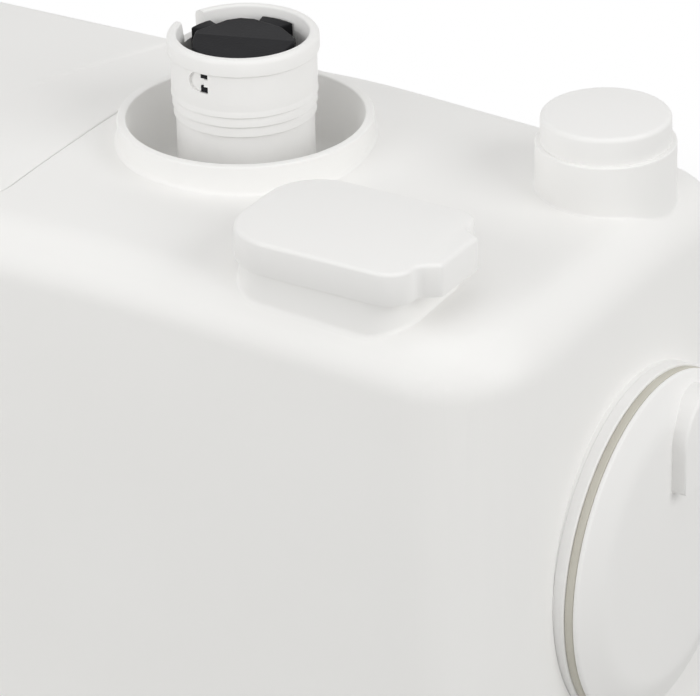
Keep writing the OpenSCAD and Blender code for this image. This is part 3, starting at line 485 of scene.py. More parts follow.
CASING_WHITE = Finish("casing_white", (0.925, 0.921, 0.908), (0.916, 0.911, 0.897), 0.44, relief=0.012,
                      relief_size=2.5, specular=0.3)
FITTING_WHITE = Finish("fitting_white", (0.925, 0.921, 0.910), (0.916, 0.911, 0.899), 0.44,
                       relief=0.015, relief_size=1.6, specular=0.3)
RUBBER_BLACK = Finish("rubber_black", (0.022, 0.022, 0.023), (0.014, 0.014, 0.015), 0.62, 0.12,
                      mottle_size=14.0, relief_size=0.7, relief=0.12)
# Painted shade: the seal is a real part, but its greyed ivory colour stands in for the shade in the groove between the
# side port's ring and cover.
SEAL_SHADED_IVORY = Finish("seal_ivory", (0.61, 0.59, 0.52), (0.57, 0.55, 0.48), 0.55, 0.10, mottle_size=12.0,
                    relief_size=0.8, relief=0.08)
VALVE_BLACK = Finish("valve_black", (0.022, 0.022, 0.024), (0.015, 0.015, 0.017), 0.42, 0.12,
                     mottle_size=8.0, relief_size=0.6, relief=0.10, specular=0.05)
STEEL = Finish("steel", (0.60, 0.61, 0.62), (0.52, 0.53, 0.54), 0.30, 0.12, mottle_size=9.0, relief_size=0.5,
               relief=0.05, metallic=1.0, streak=(0.35, 1.0, 1.0))
ZINC = Finish("zinc", (0.52, 0.54, 0.56), (0.40, 0.42, 0.45), 0.42, 0.18, mottle_size=11.0, relief_size=1.0,
              relief=0.04, metallic=1.0)
GREY_PLASTIC = Finish("grey_plastic", (0.17, 0.18, 0.19), (0.15, 0.155, 0.165), 0.45,
                      relief_size=0.9, relief=0.06)
CHARCOAL = Finish("charcoal", (0.020, 0.020, 0.021), (0.010, 0.010, 0.010), 0.80, 0.10, mottle_size=2.5,
                  relief_size=1.1, relief=0.35)
COPPER = Finish("copper", (0.52, 0.21, 0.09), (0.38, 0.14, 0.06), 0.38, 0.10, mottle_size=3.0,
                relief_size=0.6, relief=0.10, metallic=0.9, streak=(1.0, 0.2, 0.2))
BOARD_GREEN = Finish("board_green", (0.012, 0.085, 0.032), (0.010, 0.060, 0.024), 0.35,
                     mottle_size=5.0, relief_size=0.8, relief=0.08)


def dress(obj: Piece, finish: Finish, body: str, *nodes: str, smooth: float = SMOOTH_ANGLE) -> None:
    """Finishes a piece: metres, smooth shading, material, body and the solids it stands for.

    Args:
        obj: The piece, in millimetres.
        finish: Its finish.
        body: The body that it moves with.
        nodes: The solids that it stands for.
        smooth: Largest angle between faces that are shaded as one.
    """
    obj.data.transform(Matrix.Scale(METRES, 4))
    focus(obj)
    bpy.ops.object.shade_smooth_by_angle(angle=smooth)
    obj.data.materials.clear()
    obj.data.materials.append(finish.material())
    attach(obj, body)
    if nodes:
        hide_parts(*nodes)
    LOG.info("%s: %d faces, %s on %s", obj.name, len(obj.data.polygons), finish.name, body)


@dataclass
class Hood:
    """The white upper casing: crowned shell, clamping rim, lid frame, cup, vent tower, inlet socket and pads."""

    width: float = 496.0
    depth: float = 164.0
    low: float = 96.5
    top: float = 274.5
    wall: float = 3.5
    corner: float = 30.0
    back_corner: float = 21.0
    edge: float = 14.0
    lean_x: float = 6.0
    lean_y: float = 7.0
    lean_span: float = 161.0
    crown: float = 3.0
    level: float = 244.0
    end_fall: float = 7.0
    fall_blend: float = 20.0
    dip: float = 2.3
    dip_away: tuple[float, float] = (26.0, 4.0)
    dip_x: tuple[float, float] = (1.0, 14.0)
    dip_y: tuple[float, float] = (30.0, -4.0)
    lift: float = 1.2
    lift_x: tuple[float, float] = (8.0, 58.0)
    lift_y: tuple[float, float] = (-5.0, 35.0)
    grid: float = 5.5
    rim: float = 10.0
    rim_t: float = 4.0
    rim_edge: float = 1.2
    lid: Shape = (144.0, 124.0, 14.0)
    ledge: float = 8.0
    ledge_r: float = 10.0
    ledge_z: float = 261.5
    ledge_t: float = 4.0
    frame_w: float = 4.4
    frame_drop: float = 5.0
    cup: Vector = place_at(112.0, 13.0, 0.0)
    cup_r: float = 34.6
    cup_wall: float = 2.6
    cup_rim: float = 280.0
    cup_floor: float = 254.0
    cup_low: float = 247.0
    cup_flare: float = 1.4
    cup_edge: float = 0.55
    cup_bowl: float = 9.0
    cup_draft: float = 3.6
    outlet_hole: float = 20.2
    socket: Vector = place_at(216.0, 38.0, 0.0)
    socket_r: float = 20.1
    socket_rim: float = 284.3
    socket_bore: float = 16.5
    socket_low: float = 254.3
    socket_flare: float = 0.9
    vent: Vector = place_at(182.6, -47.5, 286.5)
    vent_tilt: float = 0.6
    tower_plan: Shape = (54.6, 41.6, 11.5)
    tower_top: float = -10.0
    tower_low: float = -28.3
    tower_floor: float = 3.0
    tower_flare: float = 1.2
    tower_foot: float = 18.0
    tower_sink: float = 1.5
    tower_edge: float = 0.5
    pocket: Shape = (45.0, 31.0, 6.0)
    slot: Shape = (37.0, 6.0, 2.5)
    port: Vector = place_at(0.0, 6.0, 178.8)
    port_pad: float = 244.5
    port_ring_r: float = 51.9
    port_hole: float = 46.2
    pad_in: float = 238.5
    gland: Vector = place_at(-150.0, 0.0, 232.0)
    gland_pad_r: float = 15.0
    gland_pad_in: float = 67.5
    gland_pad_out: float = 77.0
    gland_hole: float = 8.2
    skin: BVHTree | None = None

    def fall(self, x: float) -> float:
        """How far the top has fallen at x, with a soft start.

        Args:
            x: Place along the casing.

        Returns:
            The fall in millimetres.
        """
        slope = self.end_fall / (self.width / 2 - self.lean_x - self.level / 2)
        past = abs(x) - self.level / 2
        if past <= -self.fall_blend:
            return 0.0
        if past < self.fall_blend:
            return slope * (past + self.fall_blend) ** 2 / (4 * self.fall_blend)
        return slope * past

    def sink(self, x: float, y: float) -> float:
        """How far the top at a place lies under its middle."""
        return self.crown * (y / (self.depth / 2 - self.lean_y)) ** 2 + self.fall(x) + self.sway(x, y)

    def sway(self, x: float, y: float) -> float:
        """How far the top dips in front of the cup, or rises behind it.

        Args:
            x: Place along the casing.
            y: Place across the casing.

        Returns:
            The drop in millimetres.
        """
        past = x - self.lid[0] / 2
        away = (Vector((x, y, 0.0)) - self.cup).length - self.cup_r
        dip = self.dip * ease(*self.dip_away, away) * ease(*self.dip_y, y) * ease(*self.dip_x, past)
        return dip - self.lift * ease(*self.lift_x, past) * ease(*self.lift_y, y)

    def vent_place(self) -> Matrix:
        """Frame of the vent, leaning with the falling top."""
        return Matrix.Translation(self.vent) @ Matrix.Rotation(math.radians(self.vent_tilt), 4, "Y")

    def height(self, spot: Vector) -> float:
        """Height of the shell's skin above a place, found by a ray from above."""
        hit = self.skin.ray_cast(Vector((spot.x, spot.y, self.top + 100.0)), Vector((0.0, 0.0, -1.0)))
        return hit[0].z

    def form(self) -> Piece:
        """Models the shell's outer form as an open skin.

        Returns:
            The object.
        """
        rise = self.top - self.low
        deselect()
        bpy.ops.mesh.primitive_cube_add(size=1.0, location=(0.0, 0.0, self.low + rise / 2),
                                        scale=(self.width, self.depth, rise))
        obj = bpy.context.object
        obj.name = obj.data.name = "hood_shell"
        bpy.ops.object.transform_apply(location=True, rotation=True, scale=True)
        shrink_x = 1.0 - 2 * self.lean_x * rise / self.lean_span / self.width
        shrink_y = 1.0 - 2 * self.lean_y * rise / self.lean_span / self.depth
        pick_faces(obj, lambda middle, normal: normal.z > 0.9)
        with editing(obj):
            bpy.ops.transform.resize(value=(shrink_x, shrink_y, 1.0))
        bevel_edges(obj, self.corner, 16, lambda a, b: abs(a.z - b.z) > rise / 2 and a.y < 0)
        bevel_edges(obj, self.back_corner, 16, lambda a, b: abs(a.z - b.z) > rise / 2 and a.y > self.depth / 4 and
                    abs(a.x - b.x) > 1.0)
        bevel_edges(obj, self.edge, 10, on_top(self.top))
        pick_faces(obj, lambda middle, normal: normal.z < -0.9)
        with editing(obj):
            bpy.ops.mesh.delete(type="FACE")
        planes = []
        for axis, size in ((Axis.X, self.width), (Axis.Y, self.depth)):
            count, normal = int(size / 2 / self.grid), Vector(axis.value)
            planes += [(normal * self.grid * i, normal) for i in range(-count, count + 1)]
        slice_mesh(obj, planes)
        shoulder = self.top - self.edge - self.low
        for vertex in obj.data.vertices:
            share = min(1.0, max(0.0, (vertex.co.z - self.low) / shoulder))
            vertex.co.z -= share * self.sink(vertex.co.x, vertex.co.y)
        tidy_mesh(obj)
        return obj

    def shell(self) -> Piece:
        """Gives the form its wall and cuts the openings.

        Returns:
            The object.
        """
        obj = self.form()
        self.skin = BVHTree.FromObject(obj, bpy.context.evaluated_depsgraph_get())
        focus(obj)
        wall = obj.modifiers.new("wall", "SOLIDIFY")
        wall.thickness = self.wall
        wall.offset = -1.0
        wall.use_even_offset = True
        bpy.ops.object.modifier_apply(modifier=wall.name)
        above, end = self.top + 3 * OVERRUN, self.width / 2
        for cutter in (
                prism("lid_opening", round_rect(*self.lid), self.ledge_z - OVERRUN, above),
                rod("cup_hole", self.cup_r + self.cup_wall / 2, self.cup_low - OVERRUN, above, Axis.Z, self.cup),
                rod("socket_hole", self.socket_r - 2.0, self.socket_low - OVERRUN, above, Axis.Z, self.socket),
                prism("vent_hole", round_rect(*self.pocket), self.tower_low - OVERRUN, 2 * OVERRUN, self.vent_place()),
                rod("port_spot", self.port_ring_r + 0.2, self.port_pad, end + OVERRUN, Axis.X, self.port),
                rod("port_hole", self.port_hole, end - 4 * OVERRUN, end + OVERRUN, Axis.X, self.port),
                rod("gland_hole", self.gland_pad_r - 1.0, self.gland_pad_in - OVERRUN, self.depth, Axis.Y, self.gland)):
            combine(obj, cutter)
        return obj

    def rims(self) -> Piece:
        """Models the clamping rim around the foot of the hood.

        Returns:
            The object.
        """
        plan, soft, bead = (self.width, self.depth, self.corner), 0.35 * self.rim_edge, self.rim_t + 0.8
        levels = [(self.rim, 0.0), (self.rim, self.rim_t - self.rim_edge), (self.rim - soft, self.rim_t - soft),
                  (self.rim - self.rim_edge, self.rim_t), (0.8, self.rim_t), (-0.2, bead), (-self.wall, bead),
                  (-self.wall, 0.0)]
        loops = [[Vector((x, y, self.low + z)) for x, y in round_rect(*grown(plan, out), 12)] for out, z in levels]
        return lofted("hood_rim", loops, ring=True)

    def lid_frame(self) -> Piece:
        """Models the frame with a ledge that the tray hangs in.

        Returns:
            The object.
        """
        inner = (*grown(self.lid, -self.ledge)[:2], self.ledge_r)
        outer = grown(self.lid, self.frame_w)
        high, under = self.top - self.frame_drop, self.ledge_z - self.ledge_t
        levels = ((self.lid, high), (self.lid, self.ledge_z), (inner, self.ledge_z), (inner, under), (outer, under),
                  (outer, high))
        loops = [[Vector((x, y, z)) for x, y in round_rect(*shape)] for shape, z in levels]
        return lofted("lid_frame", loops, ring=True)

    def settle(self, obj: Piece, centre: Vector, out: float, base: float, flare: float) -> None:
        """Lets the flared foot of a round piece follow the shell's skin.

        Args:
            obj: The piece.
            centre: A point on its axis.
            out: Its outer radius.
            base: Height that the foot was modelled on.
            flare: Height of the foot's flare.
        """
        for vertex in obj.data.vertices:
            if (vertex.co - centre).xy.length > out - 0.2 and vertex.co.z < base + flare + FOOT_SINK:
                vertex.co.z += self.height(vertex.co) - base

    def cup_piece(self) -> Piece:
        """Models the cup around the outlet, with a round rim and a flared foot.

        Returns:
            The object.
        """
        base, out, flare = self.top, self.cup_r + self.cup_wall, self.cup_flare
        profile = rounded([(out + flare, base - FOOT_SINK, 0.0), (out, base - FOOT_SINK, flare - 0.1),
                           (out, self.cup_rim, self.cup_edge), (self.cup_r, self.cup_rim, self.cup_edge),
                           (self.cup_r - self.cup_draft, self.cup_floor, self.cup_bowl),
                           (self.outlet_hole, self.cup_floor, 0.4), (self.outlet_hole, self.cup_low, 0.0),
                           (out - 0.4, self.cup_low, 0.0), (out - 0.4, base - 2.5, 0.0),
                           (out + flare, base - FOOT_DEEP, 0.0)], 8)
        obj = spun("outlet_cup", profile, Axis.Z, self.cup)
        self.settle(obj, self.cup, out, base, flare)
        seam = self.lid[0] / 2 + 0.3
        for vertex in obj.data.vertices:
            vertex.co.x = max(vertex.co.x, seam)
        return obj

    def socket_piece(self) -> Piece:
        """Models the top inlet's socket with its flared foot.

        Returns:
            The object.
        """
        base, out, flare = self.height(self.socket), self.socket_r, self.socket_flare
        profile = rounded([(out + flare, base - FOOT_SINK, 0.0), (out, base - FOOT_SINK, flare - 0.1),
                           (out, self.socket_rim, 0.5), (self.socket_bore, self.socket_rim, 0.6),
                           (self.socket_bore, self.socket_low, 0.4), (out - 1.0, self.socket_low, 0.4),
                           (out - 1.0, base - 4.0, 0.0), (out + flare, base - FOOT_DEEP, 0.0)], 6)
        obj = spun("inlet_socket", profile, Axis.Z, self.socket)
        self.settle(obj, self.socket, out, base, flare)
        return obj

    def tower(self) -> Piece:
        """Models the vent's leaning tower around its filter pocket.

        Returns:
            The object.
        """
        place = self.vent_place()
        flare = self.tower_flare
        arc = [math.radians(90 * k / FLARE_STEPS) for k in range(FLARE_STEPS + 1)]
        foot = [(flare * (1 - math.sin(a)), flare * (1 - math.cos(a))) for a in arc]
        loops: list[Loop] = []
        for out, up in foot:
            loop = [place @ Vector((x, y, -self.tower_foot)) for x, y in round_rect(*grown(self.tower_plan, out))]
            for spot in loop:
                spot.z = self.height(spot) + up - FOOT_SINK
            loops.append(loop)
        top, low = self.tower_top, self.tower_low + self.tower_floor
        brow = grown(self.tower_plan, -self.tower_edge)
        for plan, z in ((self.tower_plan, top - self.tower_edge), (brow, top), (self.pocket, top), (self.pocket, low),
                        (self.tower_plan, low)):
            loops.append([place @ Vector((x, y, z)) for x, y in round_rect(*plan)])
        loops.append([Vector((p.x, p.y, p.z - self.tower_sink)) for p in loops[0]])
        return lofted("vent_tower", loops, ring=True)

    def tower_grid(self) -> Piece:
        """Models the slotted floor that carries the vent's filter.

        Returns:
            The object.
        """
        place = self.vent_place()
        low, high = self.tower_low, self.tower_low + self.tower_floor
        floor = prism("vent_floor", round_rect(*grown(self.pocket, 1.0)), low, high, place)
        for i in (-1, 0, 1):
            slot = [(x, y + i * self.pocket[1] / 3) for x, y in round_rect(*self.slot, 5)]
            combine(floor, prism("slot", slot, low - OVERRUN, high + OVERRUN, place))
        return floor

    def port_pad_piece(self) -> Piece:
        """Models the flat pad that the side port sits on.

        Returns:
            The object.
        """
        profile = rounded([(self.port_hole, self.pad_in - 1.0, 0.0), (self.port_ring_r, self.pad_in - 1.0, 0.0),
                           (self.port_ring_r, self.port_pad, 0.5), (self.port_hole, self.port_pad, 0.0)], 4)
        return spun("port_pad", profile, Axis.X, self.port)

    def gland_pad(self) -> Piece:
        """Models the flat pad that the cable gland is screwed to.

        Returns:
            The object.
        """
        profile = rounded([(self.gland_hole, self.gland_pad_in, 0.0), (self.gland_pad_r, self.gland_pad_in, 0.0),
                           (self.gland_pad_r, self.gland_pad_out, 1.0), (self.gland_hole, self.gland_pad_out, 0.3)], 5)
        return spun("gland_pad", profile, Axis.Y, self.gland)

    def build(self) -> None:
        """Models and dresses every piece of the hood."""
        dress(self.shell(), CASING_WHITE, "casing", "hood")
        for piece in (self.rims(), self.lid_frame(), self.cup_piece(), self.socket_piece(), self.tower(),
                      self.tower_grid(), self.port_pad_piece(), self.gland_pad()):
            dress(piece, CASING_WHITE, "casing")


@dataclass
class Lid:
    """The lift-off panel in the top, crowned as the hood is."""

    width: float = 142.8
    depth: float = 122.8
    radius: float = 13.4
    low: float = 266.0
    top: float = 274.5
    pocket: float = 2.5
    pocket_in: float = 7.4
    pocket_r: float = 10.0
    edge: float = 0.6
    grid: float = 6.0
    crown: float = 3.0
    crown_half: float = 75.0
    back_close: float = 0.55
    crease: tuple[tuple[float, float], tuple[float, float]] = ((55.5, 60.0), (44.5, 28.0))
    crease_rise: float = 0.5
    crease_w: float = 2.4
    crease_reach: tuple[float, float] = (34.0, 3.0)
    crease_end: tuple[float, float] = (2.0, 0.9)
    crease_cuts: tuple[int, ...] = (-3, -2, -1, 0, 1, 2, 3, 9, 20, 34, 50, 68, 86)

    def build(self) -> None:
        """Models and dresses the lid."""
        obj = prism("lid_panel", round_rect(self.width, self.depth, self.radius, 10), self.low, self.top)
        back = self.depth / 2 - 1.0
        bevel_edges(obj, self.edge, 3, lambda a, b: min(a.z, b.z) > self.top - TOUCH and min(a.y, b.y) < back)
        start, stop = (Vector((x, y, 0.0)) for x, y in self.crease)
        length, along = (stop - start).length, (stop - start).normalized()
        across = Vector((along.y, -along.x, 0.0))
        rows, count = Vector(Axis.Y.value), int(self.depth / 2 / self.grid)
        slice_mesh(obj, [(rows * i * self.grid, rows) for i in range(-count, count + 1)] +
                   [(start + across * (i * self.crease_w / 6), across) for i in self.crease_cuts])
        for vertex in obj.data.vertices:
            if vertex.co.z > self.low + 1.0:
                away = Vector((vertex.co.x, vertex.co.y, 0.0)) - start
                past = away.dot(across)
                raised = ease(-self.crease_w / 2, self.crease_w / 2, past) * ease(*self.crease_reach, past)
                vertex.co.z += self.crease_rise * raised * ease(*self.crease_end, away.dot(along) / length)
                vertex.co.z -= self.crown * (vertex.co.y / self.crown_half) ** 2
            if vertex.co.y > back:
                vertex.co.y += self.back_close
        recess = round_rect(self.width - 2 * self.pocket_in, self.depth - 2 * self.pocket_in, self.pocket_r)
        combine(obj, prism("lid_recess", recess, self.low - 1.0, self.low + self.pocket))
        dress(obj, CASING_WHITE, "lid", "lid")


@dataclass
class Outlet:
    """The ridged outlet pipe and the black non-return valve in its mouth."""

    centre: Vector = place_at(112.0, 13.0, 0.0)
    radius: float = 20.0
    bore: float = 16.5
    low: float = 203.0
    top: float = 305.8
    flange_r: float = 28.0
    flange_low: float = 241.0
    flange_high: float = 245.0
    bands: tuple[tuple[float, float], ...] = ((281.5, 20.65), (284.6, 20.98), (287.6, 21.25))
    crease: float = 0.5
    neck_r: float = 21.1
    lip_r: float = 21.9
    lip_low: float = 300.5
    mouth_r: float = 19.1
    mouth_low: float = 301.0
    seat_r: float = 18.3
    seat_low: float = 291.5
    notch_w: float = 10.0
    notch_h: float = 6.0
    notch_deep: float = 5.3
    notch_turn: float = -6.0
    window: float = 2.7
    window_reach: float = 6.0
    window_angle: float = -90.6
    window_slots: tuple[tuple[float, float], ...] = ((298.7, 300.3), (294.5, 296.5))
    dent_r: float = 2.8
    dent_deep: float = 1.1
    dent_z: float = 297.5
    dent_angle: float = -97.6
    valve_r: float = 18.1
    valve_bore: float = 12.5
    valve_tube: float = 15.0
    valve_step: float = 293.5
    valve_top: float = 298.0
    valve_edge: float = 0.5
    crest_r: tuple[float, float] = (11.4, 17.9)
    crest_arc: tuple[float, float] = (70.0, 178.0)
    crest_top: float = 301.4
    wings: tuple[tuple[float, float], ...] = ((70.0, 104.0), (154.0, 178.0))
    wing_top: float = 303.2
    latch_r: tuple[float, float] = (14.0, 20.5)
    latch_play: float = 0.05
    pin_r: float = 0.8
    pin_half: float = 4.2
    pin_edge: float = 0.25
    pin_at: tuple[float, float] = (15.4, 301.6)
    flap_low: float = 300.4
    flap_top: float = 303.6
    flap_plan: tuple[tuple[float, float, float], ...] = (
        (-10.2, -11.0, 3.0), (-3.5, -14.4, 5.0), (4.2, -14.2, 5.0), (11.0, -10.0, 4.0), (14.6, -2.5, 4.0),
        (14.6, 4.0, 1.0), (13.2, 7.2, 1.0), (5.5, 12.2, 1.0), (-4.7, 13.8, 1.2), (-8.6, 12.6, 2.0), (-11.4, 9.6, 2.0),
        (-13.4, 3.0, 2.0), (-15.0, -1.5, 1.0), (-12.9, -7.0, 3.0))
    flap_ridge: tuple[float, float, float] = (0.6, 0.30, 0.12)
    flap_bevel_from: float = 11.0
    flap_smooth: float = math.radians(14)

    def turned(self, angle: float) -> Matrix:
        """Frame on the outlet's axis, turned about it."""
        return Matrix.Translation(self.centre) @ Matrix.Rotation(math.radians(angle), 4, "Z")

    def pipe(self) -> Piece:
        """Models the pipe with its ridges, lip, notch and window.

        Returns:
            The object.
        """
        r = self.radius
        corners = [(r, self.low, 0.6), (r, self.flange_low, 0.4), (self.flange_r, self.flange_low, 0.5),
                   (self.flange_r, self.flange_high, 0.5), (r, self.flange_high, 0.6)]
        inner = r
        for z, out in self.bands:
            corners += [(inner, z, 0.1), (out, z + 0.15, 0.3)]
            inner = out - self.crease
            corners.append((out - 0.5 * self.crease, z + 2.0, 1.5))
        corners += [(self.neck_r, self.bands[-1][0] + 4.0, 3.0), (self.neck_r, self.lip_low, 0.4),
                    (self.lip_r, self.lip_low + 0.1, 0.5), (self.lip_r, self.top, 1.5), (self.mouth_r, self.top, 0.8),
                    (self.seat_r, self.mouth_low, 1.0), (self.seat_r, self.seat_low, 0.2),
                    (self.bore, self.seat_low, 0.2), (self.bore, self.low, 0.5)]
        obj = spun("outlet_pipe", rounded(corners, 5), Axis.Z, self.centre)
        notch = oblong(-self.lip_r - PAST, -self.lip_r + self.notch_deep, self.notch_w / 2)
        combine(obj, prism("notch", notch, self.top - self.notch_h, self.top + PAST, self.turned(self.notch_turn)))
        slot = oblong(r - self.window_reach, r + self.window_reach, self.window / 2)
        for low, high in self.window_slots:
            combine(obj, prism("window", slot, low, high, self.turned(self.window_angle)))
        opening = rod("window_dent", self.dent_r, self.neck_r - self.dent_deep, self.neck_r + PAST, Axis.X,
                      Vector((0.0, 0.0, self.dent_z)))
        opening.data.transform(self.turned(self.dent_angle))
        combine(obj, opening)
        return obj

    def arc(self, span: tuple[float, float], low: float, high: float) -> Piece:
        """Models a raised part of the valve's crest.

        Args:
            span: Angles between which it stands.
            low: Its underside.
            high: Its top.

        Returns:
            The object.
        """
        turns = [math.radians(span[0] + (span[1] - span[0]) * k / CREST_STEPS) for k in range(CREST_STEPS + 1)]
        inner, outer = self.crest_r
        outline = [(outer * math.cos(a), outer * math.sin(a)) for a in turns]
        outline += [(inner * math.cos(a), inner * math.sin(a)) for a in reversed(turns)]
        obj = prism("valve_crest", outline, low, high, Matrix.Translation(self.centre))
        bevel_edges(obj, self.valve_edge, 3, on_top(high))
        return obj

    def valve_seat(self) -> Piece:
        """Models the valve's fixed body: a flanged tube with a crest and two wings behind the flap.

        Returns:
            The object.
        """
        profile = rounded([(self.valve_bore, self.seat_low, 0.5), (self.valve_r, self.seat_low, 0.5),
                           (self.valve_r, self.valve_step, 0.5), (self.valve_tube, self.valve_step, 0.5),
                           (self.valve_tube, self.valve_top, 0.6), (self.valve_bore, self.valve_top, 0.6)], 5)
        obj = spun("valve_seat", profile, Axis.Z, self.centre)
        combine(obj, self.arc(self.crest_arc, self.valve_step - 1.0, self.crest_top), Cut.UNION)
        for span in self.wings:
            combine(obj, self.arc(span, self.crest_top - 1.0, self.wing_top), Cut.UNION)
        place = self.turned(self.window_angle)
        block = oblong(*self.latch_r, self.window / 2 - self.latch_play)
        combine(obj, prism("latch_post", [(min(x, self.valve_r), y) for x, y in block], self.valve_step - 1.0,
                           self.window_slots[0][1] - self.latch_play, place), Cut.UNION)
        for low, high in self.window_slots:
            combine(obj, prism("latch", block, low + self.latch_play, high - self.latch_play, place), Cut.UNION)
        return obj

    def hinge_pin(self) -> Piece:
        """Models the pin, hidden in the wing, that the flap turns on.

        Returns:
            The object.
        """
        y, z = self.pin_at
        obj = rod("hinge_pin", self.pin_r, -self.pin_half, self.pin_half, Axis.X, self.centre + Vector((0.0, y, z)))
        bevel_edges(obj, self.pin_edge, 2, lambda a, b: abs(a.x - b.x) < TOUCH)
        return obj

    def valve_disc(self) -> Piece:
        """Models the hinged flap with a ridge, from which its front slopes down.

        Returns:
            The object.
        """
        obj = prism("valve_disc", rounded(self.flap_plan, 4), self.flap_low, self.flap_top)
        start, slope, fall = self.flap_ridge
        across = Vector((-slope, 1.0, 0.0)).normalized()
        ridge = Vector((0.0, start, 0.0))
        slice_mesh(obj, [(ridge, across)])
        bevel_edges(obj, self.valve_edge, 3, lambda a, b: min(a.z, b.z) > self.flap_top - TOUCH and
                    max(a.xy.length, b.xy.length) > self.flap_bevel_from)
        for vertex in obj.data.vertices:
            past = (vertex.co - ridge).dot(across)
            if vertex.co.z > self.flap_low + 1.0 and past < 0:
                vertex.co.z += past * fall
        obj.data.transform(Matrix.Translation(self.centre))
        return obj

    def build(self) -> None:
        """Models and dresses the pipe and the valve."""
        dress(self.pipe(), FITTING_WHITE, "casing", "outlet_stub")
        dress(self.valve_seat(), VALVE_BLACK, "casing", "valve_body")
        dress(self.hinge_pin(), STEEL, "casing", "valve_pin")
        dress(self.valve_disc(), VALVE_BLACK, "valve_flap", "valve_flap", smooth=self.flap_smooth)


@dataclass
class VentCover:
    """The vent's lift-off cover: a round-cornered plate with a finger tab between two scallops."""

    hood: Hood
    width: float = 58.8
    depth: float = 45.4
    radius: float = 16.0
    thick: float = 9.8
    tab_reach: float = 5.7
    tab_w: float = 19.6
    tab_flare: float = 3.4
    scallop: float = 3.4
    shoulder: float = 7.0
    tab_corner: float = 1.5
    edge: float = 1.2
    low_edge: float = 0.4
    plug_h: float = 3.0
    plug: Shape = (44.6, 30.6, 5.8)

    def plan(self) -> Outline:
        """Outline of the cover in plan.

        Returns:
            The outline's points in order.
        """
        w, d, r = self.width / 2, self.depth / 2, self.radius
        tab, tip = self.tab_w / 2, self.width / 2 + self.tab_reach
        upper = [(tip, tab, self.tab_corner), (w, tab + self.tab_flare, self.scallop), (w, d, self.shoulder),
                 (-w, d, r)]
        lower = [(x, -y, radius) for x, y, radius in reversed(upper)]
        return rounded(upper + lower, 8)

    def build(self) -> None:
        """Models and dresses the cover."""
        obj = prism("vent_cap", self.plan(), -self.thick, 0.0)
        bevel_edges(obj, self.edge, 4, on_top(0.0))
        bevel_edges(obj, self.low_edge, 2, lambda a, b: max(a.z, b.z) < -self.thick + TOUCH)
        plug = prism("vent_plug", round_rect(*self.plug), -self.thick - self.plug_h, -self.thick + 1.0)
        combine(obj, plug, Cut.UNION)
        obj.data.transform(self.hood.vent_place())
        dress(obj, FITTING_WHITE, "vent_cover", "vent_cover")


@dataclass
class InletPlug:
    """The plug in the top inlet: a round cap over a hollow stem with a groove for its ring."""

    centre: Vector = place_at(216.0, 38.0, 0.0)
    seat: float = 284.3
    cap_r: float = 18.6
    cap_h: float = 8.2
    stem_r: float = 16.3
    stem_bore: float = 10.3
    stem_len: float = 22.0
    roof: float = 4.0
    groove_drop: float = 12.0
    groove_half: float = 1.4
    groove_r: float = 13.5

    def build(self) -> None:
        """Models and dresses the plug."""
        low, high = self.seat - self.stem_len, self.seat + self.cap_h
        groove, half = self.seat - self.groove_drop, self.groove_half
        stem, bore, roof = self.stem_r, self.stem_bore, self.seat - self.roof
        profile = rounded([(0.0, high, 0.0), (self.cap_r, high, 1.5), (self.cap_r, self.seat, 0.08),
                           (stem, self.seat, 0.2), (stem, groove + half, 0.2), (self.groove_r, groove + half, 0.2),
                           (self.groove_r, groove - half, 0.2), (stem, groove - half, 0.2), (stem, low, 0.8),
                           (bore, low, 0.4), (bore, roof, 1.0), (0.0, roof, 0.0)], 6)
        obj = spun("plug_cap", profile, Axis.Z, self.centre)
        dress(obj, FITTING_WHITE, "inlet_plug", "inlet_plug")


